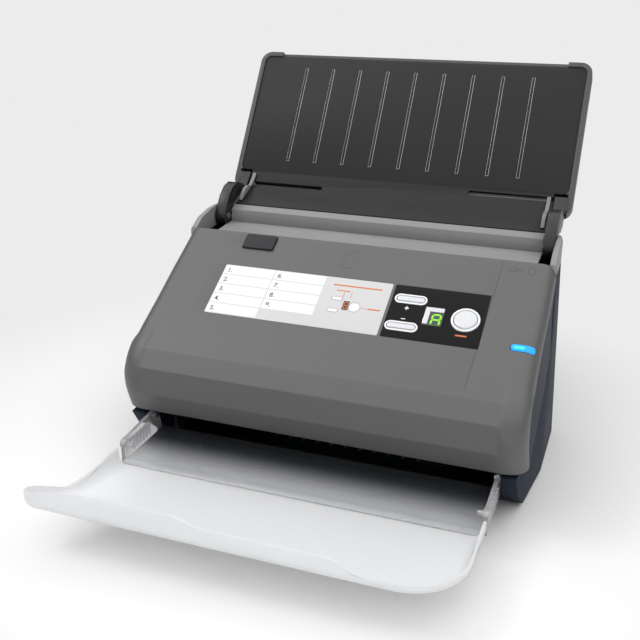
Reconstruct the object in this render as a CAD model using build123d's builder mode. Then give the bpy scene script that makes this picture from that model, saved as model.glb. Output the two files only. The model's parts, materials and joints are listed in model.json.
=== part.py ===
from build123d import *
import math
import os

# Desktop sheet-fed scanner with a hinged front cover, a folding input tray and a clear
# two-piece output tray. Millimetres, +X to the right, +Y to the rear, +Z up, floor at Z = 0.
# A side point is written as (Y, Z).

# Overall body
half_width = 158.0
wall = 2.6
rear_y = 93.0
body_height = 150.4
floor_gap = 3.0
front_y = -46.0
rear_corner = 22.0

# Front cover
slope_top = (37.2, 158.5)
slope_angle = 30.03
slope_length = 127.9
nose_upper = (-85.0, 82.3)
nose_lower = (-86.5, 62.0)
cover_foot = (-79.0, 44.0)
parting_front = (-68.0, 44.0)
parting_rear_z = 88.0
parting_gap = 0.9
side_round = 11.0
nose_round = 17.0
hinge = (-73.0, 50.0)
hinge_pin_radius = 2.0
hinge_boss_radius = 4.6

# Paper path
path_top = (55.0, 152.0)
path_angle = 46.3
path_gap = 1.0
path_length = 152.0
frame_half = half_width - 22.0
plate_thickness = 3.0
pick_place = 30.0
feed_place = 60.0
exit_place = 125.0
lower_sensor_place = 83.0
upper_sensor_place = 99.0
sensor_half = frame_half - 22.0
sensor_width = 14.0
sensor_depth = 12.0
glass_thickness = 1.6
tyre_radius = 11.0
tyre_proud = 0.4
shaft_radius = 3.0
bush_radius = 5.5

# Input tray
tray_pivot = (80.0, 158.0)
tray_angle = 55.4
tray_drop = 25.2
tray_top = 173.4
tray_foot = 36.3
tray_half = half_width - 6.5
tray_seam = tray_half - 4.0
tray_back = -11.0
arm_inner = half_width - 21.0
arm_outer = half_width - 12.0

# Output tray
link_pivot = (-68.0, 35.0)
knuckle = (-112.0, 32.0)
tray_floor = 20.0
link_half = half_width - 20.0
link_rear = -59.0
link_front = -114.0
panel_rear = -122.0
panel_front = -208.3
panel_half = link_half + 0.5
panel_front_z = 30.0
panel_corner = 40.0
wing_reach = 19.0
wing_start = -166.0
lip_high = 50.0
lip_middle = 45.0
clear_wall = 2.4

# Clearances
running = 0.05
loose = 0.3
seat = 0.2

slope_cos = math.cos(math.radians(slope_angle))
slope_sin = math.sin(math.radians(slope_angle))
path_cos = math.cos(math.radians(path_angle))
path_sin = math.sin(math.radians(path_angle))
tray_cos = math.cos(math.radians(tray_angle))
tray_sin = math.sin(math.radians(tray_angle))


def on_slope(down, out):
    """Side point at a distance down the cover's slope and out of its surface."""
    return (slope_top[0] - down * slope_cos - out * slope_sin,
            slope_top[1] - down * slope_sin + out * slope_cos)


def on_path(down, out):
    """Side point down the paper path and out of it, towards the cover."""
    return (path_top[0] - down * path_cos - out * path_sin,
            path_top[1] - down * path_sin + out * path_cos)


def on_tray(up, out):
    """Side point up the input tray from its pivot's foot, and out of its face."""
    return (tray_pivot[0] + up * tray_cos - (out - tray_drop) * tray_sin,
            tray_pivot[1] + up * tray_sin + (out - tray_drop) * tray_cos)


slope_plane = Plane(origin=(0, *slope_top), x_dir=(1, 0, 0), z_dir=(0, -slope_sin, slope_cos))
path_plane = Plane(origin=(0, *path_top), x_dir=(1, 0, 0), z_dir=(0, -path_sin, path_cos))
tray_plane = Plane(origin=(0, *on_tray(0, 0)), x_dir=(1, 0, 0), z_dir=(0, -tray_sin, tray_cos))

cover_edge = on_slope(slope_length, 0)
gear_outer = -(frame_half + 6.0)
gear_inner = -(frame_half + 2.0)
roller_out = tyre_proud - tyre_radius
pick_axis = on_path(pick_place, roller_out)
feed_axis = on_path(feed_place, roller_out)
exit_axis = on_path(exit_place, roller_out)


def slab(points, x_low, x_high, mode=Mode.ADD):
    """Extrude a closed side outline between two X planes."""
    with BuildSketch(Plane.YZ.offset(x_low)) as profile:
        with BuildLine():
            Polyline(*points, close=True)
        make_face()
    extrude(profile.sketch, amount=x_high - x_low, mode=mode)


def side_slabs(points, x_inner, x_outer, mode=Mode.ADD):
    """The same outline on the left and on the right."""
    slab(points, x_inner, x_outer, mode)
    slab(points, -x_outer, -x_inner, mode)


def rod(centre, x_low, x_high, radius, mode=Mode.ADD):
    """A round bar along X."""
    with BuildSketch(Plane.YZ.offset(x_low)) as profile:
        with Locations(centre):
            Circle(radius)
    extrude(profile.sketch, amount=x_high - x_low, mode=mode)


def side_rods(centre, x_inner, x_outer, radius, mode=Mode.ADD):
    rod(centre, x_inner, x_outer, radius, mode)
    rod(centre, -x_outer, -x_inner, radius, mode)


def band(points, thickness):
    """A strip along an open side path, thickened to the left of its direction."""
    def shifted(index):
        before = points[max(index - 1, 0)]
        here = points[index]
        after = points[min(index + 1, len(points) - 1)]
        first = Vector(here[0] - before[0], here[1] - before[1])
        second = Vector(after[0] - here[0], after[1] - here[1])
        first = first if first.length > 0 else second
        second = second if second.length > 0 else first
        first = first.normalized()
        second = second.normalized()
        normal = Vector(-first.Y - second.Y, first.X + second.X).normalized()
        reach = thickness / (normal.X * -first.Y + normal.Y * first.X)
        return (here[0] + normal.X * reach, here[1] + normal.Y * reach)
    return list(points) + [shifted(i) for i in reversed(range(len(points)))]


def plate_on(plane, x_centre, along, width, height, low, high, mode=Mode.ADD, corner=0.0):
    """A rectangular block on a sloping plane: along is measured in the plane, up the slope."""
    with BuildSketch(plane.offset(low)) as profile:
        with Locations((x_centre, along)):
            if corner > 0:
                RectangleRounded(width, height, corner)
            else:
                Rectangle(width, height)
    extrude(profile.sketch, amount=high - low, mode=mode)


def disc_on(plane, x_centre, along, radius, low, high, mode=Mode.ADD):
    with BuildSketch(plane.offset(low)) as profile:
        with Locations((x_centre, along)):
            Circle(radius)
    extrude(profile.sketch, amount=high - low, mode=mode)


def save(piece, name):
    piece.part.label = name
    export_step(piece.part, f"parts/{name}.step")


# Front cover: the form is a side outline, rounded by a plan outline and by a cross-section
def cover_points(inset, open_bottom):
    """Side outline of the cover, moved in by inset and let out at the bottom and rear."""
    rear = slope_top[0] + open_bottom
    low = open_bottom
    top = on_slope(-open_bottom / slope_cos, -inset)
    edge = (cover_edge[0] + inset * 0.72, cover_edge[1] - inset * 0.72)
    upper = (nose_upper[0] + inset * 0.98, nose_upper[1] - inset * 0.42)
    lower = (nose_lower[0] + inset, nose_lower[1] - inset * 0.15)
    foot_x = cover_foot[0] + inset * 1.08 + low * 0.42
    return [top, edge, upper, lower, (foot_x, cover_foot[1] - low),
            (parting_front[0], parting_front[1] - low), (rear, parting_rear_z - low)]


def cover_form(inset, open_bottom):
    reach = 2 * half_width
    with BuildPart() as form:
        slab(cover_points(inset, open_bottom), inset - half_width, half_width - inset)
        with BuildSketch(Plane.XY):
            with Locations((0, nose_lower[0] + inset + reach / 2)):
                RectangleRounded(2 * (half_width - inset), reach, nose_round - inset)
        extrude(amount=reach, mode=Mode.INTERSECT)
        with BuildSketch(Plane(slope_plane.origin, x_dir=(1, 0, 0), z_dir=slope_plane.y_dir)):
            with Locations((0, inset + reach / 2)):
                RectangleRounded(2 * (half_width - inset), reach, side_round - inset)
        extrude(amount=reach, both=True, mode=Mode.INTERSECT)
    return form.part


# Places on the slope: X, distance down the slope, width and height
button_hole_play = 0.35
control_x = half_width - 83.2
release_place = (control_x - 158.9, 9.6, 26.8, 15.2)
label_place = (control_x - 108.4, 61.5, 140.4, 50.3)
overlay_place = (control_x, 61.5, 72.2, 50.3)
plus_place = (control_x - 21.6, 49.5, 24.0, 8.0)
minus_place = (control_x - 22.6, 75.5, 24.0, 8.0)
display_place = (control_x - 1.3, 63.0, 14.6, 17.0)
scan_place = (control_x + 22.1, 62.4)
scan_radius = 8.6
scan_ring_radius = 10.7
light_place = (control_x + 64.7, 80.4, 14.0, 5.4)
board_x = control_x + 15.7
board_posts = (board_x - 48.5, board_x + 15.5)
inlay_depth = 0.6
overlay_proud = 0.2
button_proud = 1.4
board_depth = 8.0
board_thickness = 1.6


def slope_hole(place, depth, grow=button_hole_play, corner=1.5):
    plate_on(slope_plane, place[0], -place[1], place[2] + 2 * grow, place[3] + 2 * grow,
             -depth, 1.0, Mode.SUBTRACT, corner)


cover_solid = cover_form(0.0, 0.0)
cover_hollow = cover_form(wall, 12.0)

with BuildPart() as front_cover:
    add(cover_solid)
    add(cover_hollow, mode=Mode.SUBTRACT)
    for place in (label_place, overlay_place):
        slope_hole(place, inlay_depth, 0.0, 1.0)
    for place in (release_place, plus_place, minus_place, display_place, light_place):
        slope_hole(place, wall + 0.2)
    disc_on(slope_plane, scan_place[0], -scan_place[1], scan_ring_radius + running, -wall - 0.2, 1.0,
            Mode.SUBTRACT)
    for x in board_posts:
        for down in (40.0, 84.0):
            disc_on(slope_plane, x, -down, 2.6, -board_depth, -wall + 0.1)
            disc_on(slope_plane, x, -down, 0.9, -board_depth, -board_depth + 4.0, Mode.SUBTRACT)
save(front_cover, "front_cover")

# Inner shell of the cover: the front face of the paper path, two side ribs and hinge lugs
liner_thickness = 2.4
rib_inner = half_width - 14.4
rib_outer = half_width - 11.0
latch_axis = on_path(46.3, 13.0)
latch_shaft_radius = 2.5
hook_inner = frame_half + 2.6
hook_outer = frame_half + 5.6
pinch_radius = 6.0
pinch_shaft_radius = 2.0
pinch_out = tyre_proud + loose + pinch_radius
pinch_axis = on_path(exit_place, pinch_out)
pinch_places = (-90.0, -30.0, 30.0, 90.0)
tyre_places = (-90.0, -30.0, 30.0, 90.0)
feed_places = (-26.0, 26.0)
tyre_width = 18.0
feed_tyre_width = 24.0
pad_half = 46.0
pad_height = 16.0
hook_place = 48.0
crank_width = 8.0
release_travel = 2.0

liner_path = [on_path(path_length - 2.0, path_gap), on_path(48.0, path_gap), on_slope(4.0, -wall)]
liner_back = [on_slope(7.2, -wall), on_path(49.0, path_gap + liner_thickness),
              on_path(path_length - 2.0, path_gap + liner_thickness)]
rib_shape = [on_path(path_length - 2.0, path_gap), on_path(48.0, path_gap), on_slope(4.0, -wall),
             on_slope(slope_length - 3.0, -wall), (nose_upper[0] + 5.6, nose_upper[1] - 1.0),
             (nose_lower[0] + 6.0, nose_lower[1]), (hinge[0] - hinge_boss_radius, hinge[1]), hinge]

with BuildPart() as cover_liner:
    slab(liner_path + liner_back, -rib_outer, rib_outer)
    side_slabs(rib_shape, rib_inner, rib_outer)
    side_rods(hinge, rib_inner, rib_outer, hinge_boss_radius)
    side_rods(hinge, rib_inner - 1, rib_outer + 1, hinge_pin_radius + running, Mode.SUBTRACT)
    side_rods(latch_axis, rib_inner - 1, rib_outer + 1, latch_shaft_radius + running, Mode.SUBTRACT)
    for x in (-112.0, 112.0):
        slab([on_path(exit_place - 9, path_gap + 1), on_path(exit_place - 9, pinch_out + 5),
              on_path(exit_place + 9, pinch_out + 5), on_path(exit_place + 9, path_gap + 1)],
             x - 2, x + 2)
    rod(pinch_axis, -115, 115, pinch_shaft_radius + running, Mode.SUBTRACT)
    for x in pinch_places:
        plate_on(path_plane, x, -exit_place, tyre_width + 2, 2 * pinch_radius + 2, 0, 8,
                 Mode.SUBTRACT)
    plate_on(path_plane, 0, -feed_place, 2 * (pad_half + loose), pad_height + 2 * loose, 0, 8,
             Mode.SUBTRACT)
    plate_on(path_plane, 0, -upper_sensor_place, 2 * (sensor_half + seat), sensor_width + 2 * seat,
             0, 8, Mode.SUBTRACT)
    for x in (-(hook_inner + hook_outer) / 2, (hook_inner + hook_outer) / 2):
        plate_on(path_plane, x, -hook_place, hook_outer - hook_inner + 2, 16, -4, 8, Mode.SUBTRACT)
    plate_on(slope_plane, release_place[0], -release_place[1], release_place[2] + 2, 21,
             -wall - release_travel - 0.6, 0, Mode.SUBTRACT)
    plate_on(slope_plane, release_place[0], -14.0, crank_width + 2, 16, -18, 0, Mode.SUBTRACT)
save(cover_liner, "cover_liner")

with BuildPart() as upper_sensor_glass:
    plate_on(path_plane, 0, -upper_sensor_place, 2 * sensor_half, sensor_width, path_gap,
             path_gap + glass_thickness)
save(upper_sensor_glass, "upper_sensor_glass")

with BuildPart() as upper_sensor_module:
    plate_on(path_plane, 0, -upper_sensor_place, 2 * sensor_half, sensor_width,
             path_gap + glass_thickness, path_gap + glass_thickness + sensor_depth)
save(upper_sensor_module, "upper_sensor_module")

with BuildPart() as pinch_rollers:
    rod(pinch_axis, -114.5, 114.5, pinch_shaft_radius)
    for x in pinch_places:
        rod(pinch_axis, x - tyre_width / 2, x + tyre_width / 2, pinch_radius)
save(pinch_rollers, "pinch_rollers")

# Sprung pad that holds back the second sheet
pad_travel = 0.8
pad_back = 6.0
with BuildPart() as separation_pad:
    plate_on(path_plane, 0, -feed_place, 2 * pad_half, pad_height, tyre_proud + loose, pad_back,
             corner=1.0)
save(separation_pad, "separation_pad")

spring_foot = path_gap + liner_thickness
spring_leaf = 0.9
spring_out = pad_back + pad_travel + 0.1
spring_turn = feed_place + pad_height / 2 + 1.4
with BuildPart() as pad_spring:
    slab([on_path(spring_turn + 8, spring_foot), on_path(spring_turn, spring_foot),
          on_path(spring_turn, spring_out), on_path(feed_place - 5, spring_out),
          on_path(feed_place - 5, spring_out + spring_leaf),
          on_path(spring_turn + spring_leaf, spring_out + spring_leaf),
          on_path(spring_turn + spring_leaf, spring_foot + spring_leaf),
          on_path(spring_turn + 8, spring_foot + spring_leaf)], -8, 8)
save(pad_spring, "pad_spring")

# Latch: a cross shaft with two hooks, turned by the release button
crank_x = release_place[0]
stem_place = 14.5
stem_foot = 6.0
crank_gap = 0.6
with BuildPart() as latch_shaft:
    rod(latch_axis, -rib_outer, rib_outer, latch_shaft_radius)
    hook = [on_path(hook_place - 3.5, 15.5), on_path(hook_place, 15.5), on_path(hook_place - 0.6, -8),
            on_path(hook_place - 2.4, -11.0), on_path(hook_place - 5.0, -8.6),
            on_path(hook_place - 3.5, -5)]
    side_slabs(hook, hook_inner, hook_outer)
    crank_tip = on_slope(stem_place, -stem_foot - crank_gap)
    slab([on_slope(stem_place + 3, -stem_foot - crank_gap), crank_tip, (crank_tip[0], crank_tip[1] - 2.5),
          (latch_axis[0] + 2.5, latch_axis[1] - 1.5), (latch_axis[0] - 2, latch_axis[1] + 2.5)],
         crank_x - crank_width / 2, crank_x + crank_width / 2)
save(latch_shaft, "latch_shaft")


def push_cap(name, place, foot, corner, stem):
    """A slab button: a cap in its hole and a stem, given as place, width and height."""
    with BuildPart() as cap:
        plate_on(slope_plane, place[0], -place[1], place[2], place[3], -wall, button_proud,
                 corner=corner)
        edge = cap.faces().sort_by(lambda f: f.center().dot(slope_plane.z_dir))[-1].edges()
        fillet(edge, 0.6)
        plate_on(slope_plane, place[0], -stem[0], stem[1], stem[2], -foot, -wall)
    save(cap, name)


switch_height = 2.5
key_travel = 0.8
key_foot = board_depth - switch_height - key_travel - 0.2
push_cap("release_button", release_place, stem_foot, 1.5, (stem_place, crank_width, 4.0))
push_cap("plus_button", plus_place, key_foot, 3.9, (plus_place[1], 8.0, 4.0))
push_cap("minus_button", minus_place, key_foot, 3.9, (minus_place[1], 8.0, 4.0))

with BuildPart() as scan_ring:
    disc_on(slope_plane, scan_place[0], -scan_place[1], scan_ring_radius, -wall, 1.2)
    disc_on(slope_plane, scan_place[0], -scan_place[1], scan_radius + button_hole_play, -wall, 1.2,
            Mode.SUBTRACT)
save(scan_ring, "scan_ring")

with BuildPart() as scan_button:
    disc_on(slope_plane, scan_place[0], -scan_place[1], scan_radius, -wall, 1.8)
    scan_rim = scan_button.edges().sort_by(lambda e: e.center().dot(slope_plane.z_dir))[-1]
    fillet(scan_rim, 1.5)
    disc_on(slope_plane, scan_place[0], -scan_place[1], 3.0, -key_foot, -wall)
save(scan_button, "scan_button")

with BuildPart() as function_label:
    plate_on(slope_plane, label_place[0], -label_place[1], label_place[2] - 0.2, label_place[3] - 0.2,
             -inlay_depth, 0.0, corner=1.0)
save(function_label, "function_label")

with BuildPart() as control_overlay:
    plate_on(slope_plane, overlay_place[0], -overlay_place[1], overlay_place[2] - 0.2,
             overlay_place[3] - 0.2, -inlay_depth, overlay_proud, corner=1.0)
    for place in (plus_place, minus_place, display_place):
        slope_hole(place, inlay_depth + 0.1)
    disc_on(slope_plane, scan_place[0], -scan_place[1], scan_ring_radius + running, -1, 1,
            Mode.SUBTRACT)
save(control_overlay, "control_overlay")

# Display window with its L-shaped bright frame
frame_bar = 4.4
with BuildPart() as digit_display:
    plate_on(slope_plane, display_place[0], -display_place[1], display_place[2], display_place[3],
             -board_depth, overlay_proud, corner=0.6)
save(digit_display, "digit_display")

with BuildPart() as display_frame:
    plate_on(slope_plane, display_place[0], -display_place[1], display_place[2], display_place[3],
             overlay_proud, overlay_proud + 0.5, corner=0.6)
    plate_on(slope_plane, display_place[0] + frame_bar, -display_place[1] - frame_bar,
             display_place[2], display_place[3], overlay_proud - 0.1, overlay_proud + 1, Mode.SUBTRACT)
save(display_frame, "display_frame")

with BuildPart() as light_bar:
    plate_on(slope_plane, light_place[0], -light_place[1], light_place[2], light_place[3],
             -wall, 0.2, corner=1.0)
save(light_bar, "light_bar")

with BuildPart() as control_board:
    plate_on(slope_plane, board_x, -62.0, 104.0, 54.0, -board_depth - board_thickness, -board_depth)
    plate_on(slope_plane, light_place[0] - 2, -light_place[1], 8, 4, -board_depth, -wall - 0.2)
    for place in (plus_place, minus_place, scan_place):
        plate_on(slope_plane, place[0], -place[1], 6, 6, -board_depth, -board_depth + switch_height)
save(control_board, "control_board")

# Base housing: side walls, rear wall, front apron and the two arms that carry the hinges
arm_nose = (-79.0, 40.6)
arm_chin = (-67.0, 22.0)
arm_wall_inner = link_half + 1.0
arm_wall_outer = arm_wall_inner + 3.0
apron_top = 22.0
parting_slope = (parting_rear_z - parting_front[1]) / (slope_top[0] - parting_front[0])
housing_front_of_rear = slope_top[0] + parting_gap


def parting_z(y):
    """Height of the housing's edge below the cover's skirt."""
    return parting_front[1] + (y - parting_front[0]) * parting_slope - parting_gap * 1.2


housing_side = [(front_y, floor_gap), arm_chin, arm_nose, (-67.0, arm_nose[1]),
                (-66.0, parting_z(-66.0)), (housing_front_of_rear, parting_z(housing_front_of_rear)),
                (housing_front_of_rear, body_height), (rear_y, body_height), (rear_y, floor_gap)]
hollow_side = [(front_y + wall, floor_gap - 1), (arm_chin[0] + 3.2, arm_chin[1] - 0.4),
               (arm_nose[0] + 4.2, arm_nose[1] - wall), (-66.0, arm_nose[1] - wall),
               (-66.0, 70.0), (-10.0, 160.0), (rear_y - wall, 160.0), (rear_y - wall, floor_gap - 1)]


def rounded_plan(inset):
    """Plan outline of the body: large rear corners, bevelled front corners."""
    side = half_width - inset
    back = rear_y - inset
    with BuildSketch(Plane.XY) as plan:
        with BuildLine():
            corner = rear_corner - inset
            Polyline((-side, back - corner), (-side, 5), (-side + 6, -46), (-side + 9, -100),
                     (side - 9, -100), (side - 6, -46), (side, 5), (side, back - corner))
            RadiusArc((side, back - corner), (side - corner, back), -corner)
            Line((side - corner, back), (-side + corner, back))
            RadiusArc((-side + corner, back), (-side, back - corner), -corner)
        make_face()
    return plan.sketch


def housing_form(points, inset, tall):
    with BuildPart() as form:
        slab(points, inset - half_width, half_width - inset)
        extrude(rounded_plan(inset), amount=tall, mode=Mode.INTERSECT)
    return form.part


housing_solid = housing_form(housing_side, 0.0, 200.0)
housing_hollow = housing_form(hollow_side, wall, 200.0)
neck_shape = [(hinge[0], hinge[1] - hinge_boss_radius), (-66.5, hinge[1] - hinge_boss_radius),
              (-66.5, arm_nose[1] - 1), (arm_nose[0] + 1, arm_nose[1] - 1), (arm_chin[0] + 1, arm_chin[1]),
              (front_y + 1, floor_gap), (-30.0, floor_gap), (-30.0, 35.0), (-51.5, 41.0),
              (-66.0, hinge[1] + hinge_boss_radius), (hinge[0], hinge[1] + hinge_boss_radius)]
ledge = [(-30.0, parting_z(-30.0) - 6), (housing_front_of_rear, parting_z(housing_front_of_rear) - 6)]
post_radius = 5.0
post_places = ((half_width - 10.4, -22.0), (half_width - 7.5, 60.0))
jack_place = (66.0, 22.0, 12.0, 12.0)
usb_place = (40.0, 21.0, 13.0, 11.5)
switch_place = (96.0, 24.0, 20.0, 14.0)
board_rear = 81.6


def rear_block(place, y_low, y_high, grow, mode=Mode.ADD):
    """A rectangular block along Y: place holds X, Z, width and height."""
    with BuildSketch(Plane.XZ.offset(-y_low)) as profile:
        with Locations((place[0], place[1])):
            RectangleRounded(place[2] + 2 * grow, place[3] + 2 * grow, 1.0)
    extrude(profile.sketch, amount=-(y_high - y_low), mode=mode)


with BuildPart() as base_housing:
    add(housing_solid)
    add(housing_hollow, mode=Mode.SUBTRACT)
    with BuildSketch(Plane.XY.offset(apron_top)):
        with Locations((0, front_y - 10)):
            Rectangle(2 * arm_wall_inner, 80)
    extrude(amount=120, mode=Mode.SUBTRACT)
    with BuildSketch(Plane.XY.offset(-1)):
        with Locations((0, front_y - 30)):
            Rectangle(2 * arm_wall_inner, 60)
    extrude(amount=120, mode=Mode.SUBTRACT)
    side_slabs(neck_shape, arm_wall_inner, arm_wall_outer)
    side_rods(hinge, arm_wall_inner, arm_wall_outer, hinge_boss_radius)
    side_rods(hinge, arm_wall_inner - 1, arm_wall_outer + 1, hinge_pin_radius, Mode.SUBTRACT)
    side_rods(link_pivot, arm_wall_inner - 1, arm_wall_outer + 1, 2.5, Mode.SUBTRACT)
    side_slabs(band(ledge, 2.0), arm_wall_outer + 2, half_width - wall + 0.1)
    for x, y in post_places:
        for side in (-1, 1):
            with BuildSketch(Plane.XY.offset(floor_gap + wall)):
                with Locations((side * x, y)):
                    Circle(post_radius)
            extrude(amount=14)
            with BuildSketch(Plane.XY.offset(floor_gap + wall)):
                with Locations((side * x, y)):
                    Circle(1.6)
            extrude(amount=10, mode=Mode.SUBTRACT)
    for x in (-80.0, 80.0):
        for z in (40.0, 100.0):
            with BuildSketch(Plane.XZ.offset(-board_rear)):
                with Locations((x, z)):
                    Circle(4)
            extrude(amount=-(rear_y - wall + 0.1 - board_rear))
    for place in (jack_place, usb_place, switch_place):
        rear_block(place, rear_y - wall - 1, rear_y + 1, seat, Mode.SUBTRACT)
save(base_housing, "base_housing")

# Grey rear top: the centre cap, the two ears and the back strip
cap_z = body_height + 3.0
tray_pin_end = half_width - 5.0
ear_inner = half_width - 11.0
lip_front = 84.0
lip_z = 163.5
ear_shape = [(38.2, body_height), (38.2, 158.0), (50.0, 164.2), (67.0, 167.2), (84.0, 168.0),
             (91.5, 164.0), (93.0, 158.0), (93.0, body_height)]
with BuildPart() as rear_housing:
    side_slabs(ear_shape, ear_inner, half_width)
    with BuildSketch(Plane.XY.offset(body_height)):
        with Locations((0, rear_y - 5.5 / 2)):
            Rectangle(2 * half_width, 5.5)
    extrude(amount=cap_z - body_height)
    slab([on_path(-0.3, 0), (88.0, cap_z), (88.0, body_height), on_path(-0.3, -plate_thickness)],
         -frame_half, frame_half)
    slab([(lip_front - 2.0, cap_z), (lip_front, lip_z), (rear_y - 2.0, lip_z + 2.9),
          (rear_y, lip_z + 1.0), (rear_y, cap_z)], -frame_half + 0.5, frame_half - 0.5)
    extrude(rounded_plan(0.0), amount=200, mode=Mode.INTERSECT)
    side_rods(tray_pivot, ear_inner - 1, tray_pin_end, 3.0, Mode.SUBTRACT)
    rear_housing_rim = rear_housing.edges().filter_by(
        lambda e: abs(abs(e.center().X) - half_width) < 0.01 and e.center().Z > body_height + 6)
    fillet(rear_housing_rim, 3.0)
save(rear_housing, "rear_housing")

with BuildPart() as base_plate:
    slab([(front_y + wall + 0.4, floor_gap), (rear_y - wall - seat, floor_gap),
          (rear_y - wall - seat, floor_gap + wall), (front_y + wall + 0.4, floor_gap + wall)],
         -half_width, half_width)
    extrude(rounded_plan(wall + seat), amount=50, mode=Mode.INTERSECT)
    side_slabs([(-60, 0), (-29, 0), (-29, 20), (-60, 20)], arm_wall_inner - seat,
               arm_wall_outer + seat, Mode.SUBTRACT)
    for x, y in post_places:
        for side in (-1, 1):
            with BuildSketch(Plane.XY.offset(floor_gap)):
                with Locations((side * x, y)):
                    Circle(1.6)
            extrude(amount=wall, mode=Mode.SUBTRACT)
    with BuildSketch(Plane.XY.offset(floor_gap)):
        with GridLocations(12, 0, 12, 1):
            RectangleRounded(4, 40, 1.9)
    extrude(amount=wall, mode=Mode.SUBTRACT)
save(base_plate, "base_plate")

with BuildPart() as case_screws:
    for x, y in post_places:
        for side in (-1, 1):
            with BuildSketch(Plane.XY.offset(floor_gap - 1.2)):
                with Locations((side * x, y)):
                    Circle(3.2)
            extrude(amount=1.2)
            with BuildSketch(Plane.XY.offset(floor_gap)):
                with Locations((side * x, y)):
                    Circle(1.5)
            extrude(amount=10)
save(case_screws, "case_screws")

foot_x = half_width - 34.0
with BuildPart() as rubber_feet:
    with BuildSketch(Plane.XY):
        with Locations((-foot_x, -30), (foot_x, -30), (-foot_x, 76), (foot_x, 76)):
            Circle(8)
    extrude(amount=floor_gap)
save(rubber_feet, "rubber_feet")

# Inner frame: the rear face of the paper path on two side plates
web_inner = frame_half - 3.0
web_shape = [on_path(1.0, -plate_thickness), on_path(path_length, -plate_thickness), (-40.0, 30.0),
             (-40.0, floor_gap + wall), (70.0, floor_gap + wall), (70.0, 137.0)]
keeper_axis = on_path(40.0, -6.0)
keeper_radius = 2.0
idler_radius = 28.0
gear_radius = 9.0
pinion_radius = 6.0
mesh_gap = 0.3
idler_reach = idler_radius + gear_radius + mesh_gap
idler_half = (exit_place - feed_place) / 2
idler_axis = on_path(feed_place + idler_half,
                     roller_out - math.sqrt(idler_reach ** 2 - idler_half ** 2))
small_reach = 2 * gear_radius + mesh_gap
small_half = (feed_place - pick_place) / 2
small_axis = on_path(pick_place + small_half,
                     roller_out - math.sqrt(small_reach ** 2 - small_half ** 2))
motor_turn = math.radians(-15)
motor_reach = idler_radius + pinion_radius + mesh_gap
motor_axis = (idler_axis[0] + motor_reach * math.cos(motor_turn),
              idler_axis[1] + motor_reach * math.sin(motor_turn))
flag_axis = on_path(16.0, -8.0)
flag_x = 60.0

with BuildPart() as guide_frame:
    slab([on_path(0, 0), on_path(0, -plate_thickness), on_path(path_length, -plate_thickness),
          on_path(path_length, 0)], -frame_half, frame_half)
    side_slabs(web_shape, web_inner, frame_half)
    for axis in (pick_axis, feed_axis, exit_axis):
        side_rods(axis, web_inner - 1, frame_half + 1, bush_radius, Mode.SUBTRACT)
    rod(motor_axis, -frame_half - 1, -web_inner + 1, 7.0, Mode.SUBTRACT)
    for x in feed_places:
        for place in (pick_place, feed_place):
            plate_on(path_plane, x, -place, feed_tyre_width + 2, 2 * tyre_radius + 0.6, -4, 1,
                     Mode.SUBTRACT)
    for x in tyre_places:
        plate_on(path_plane, x, -exit_place, tyre_width + 2, 2 * tyre_radius + 0.6, -4, 1,
                 Mode.SUBTRACT)
    plate_on(path_plane, 0, -lower_sensor_place, 2 * (sensor_half + seat), sensor_width + 2 * seat,
             -4, 1, Mode.SUBTRACT)
    plate_on(path_plane, flag_x, -16, 5, 18, -4, 1, Mode.SUBTRACT)
    for x in (flag_x - 5.5, flag_x + 5.5):
        slab([on_path(10, -plate_thickness + 0.1), on_path(12, -12), on_path(20, -12),
              on_path(22, -plate_thickness + 0.1)], x - 1, x + 1)
    rod(flag_axis, flag_x - 7, flag_x + 7, 1.55, Mode.SUBTRACT)
save(guide_frame, "guide_frame")

with BuildPart() as latch_keepers:
    side_rods(keeper_axis, frame_half, hook_outer + 1, keeper_radius)
save(latch_keepers, "latch_keepers")

with BuildPart() as roller_bushes:
    for axis in (pick_axis, feed_axis, exit_axis):
        side_rods(axis, web_inner, frame_half, bush_radius)
        side_rods(axis, web_inner - 1, frame_half + 1, shaft_radius + running, Mode.SUBTRACT)
save(roller_bushes, "roller_bushes")

with BuildPart() as lower_sensor_glass:
    plate_on(path_plane, 0, -lower_sensor_place, 2 * sensor_half, sensor_width, -glass_thickness, 0)
save(lower_sensor_glass, "lower_sensor_glass")

with BuildPart() as lower_sensor_module:
    plate_on(path_plane, 0, -lower_sensor_place, 2 * sensor_half, sensor_width,
             -glass_thickness - sensor_depth, -glass_thickness)
save(lower_sensor_module, "lower_sensor_module")


def toothed_disc(axis, radius, bore, x_low, x_high):
    """A spur gear: a disc with square-cut teeth of about one millimetre module."""
    root = radius - 2.0
    count = round(radius * 2 - 2)
    rod(axis, x_low, x_high, root)
    with BuildSketch(Plane.YZ.offset(x_low)) as profile:
        with Locations(axis):
            with PolarLocations(radius - 1.2, count):
                Rectangle(2.4, 1.4)
    extrude(profile.sketch, amount=x_high - x_low)
    if bore > 0:
        rod(axis, x_low - 1, x_high + 1, bore, Mode.SUBTRACT)


def driven_roller(name, axis, places, width):
    with BuildPart() as roller:
        rod(axis, gear_outer, frame_half + 1.5, shaft_radius)
        for x in places:
            rod(axis, x - width / 2, x + width / 2, tyre_radius)
        toothed_disc(axis, gear_radius, 0, gear_outer, gear_inner)
    save(roller, name)


driven_roller("pick_roller", pick_axis, feed_places, feed_tyre_width)
driven_roller("feed_roller", feed_axis, feed_places, feed_tyre_width)
driven_roller("exit_roller", exit_axis, tyre_places, tyre_width)

stub_radius = 2.0
for gear_name, axis, radius in (("large_idler_gear", idler_axis, idler_radius),
                                ("small_idler_gear", small_axis, gear_radius)):
    with BuildPart() as gear:
        toothed_disc(axis, radius, stub_radius + running, gear_outer, gear_inner)
    save(gear, gear_name)

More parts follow.
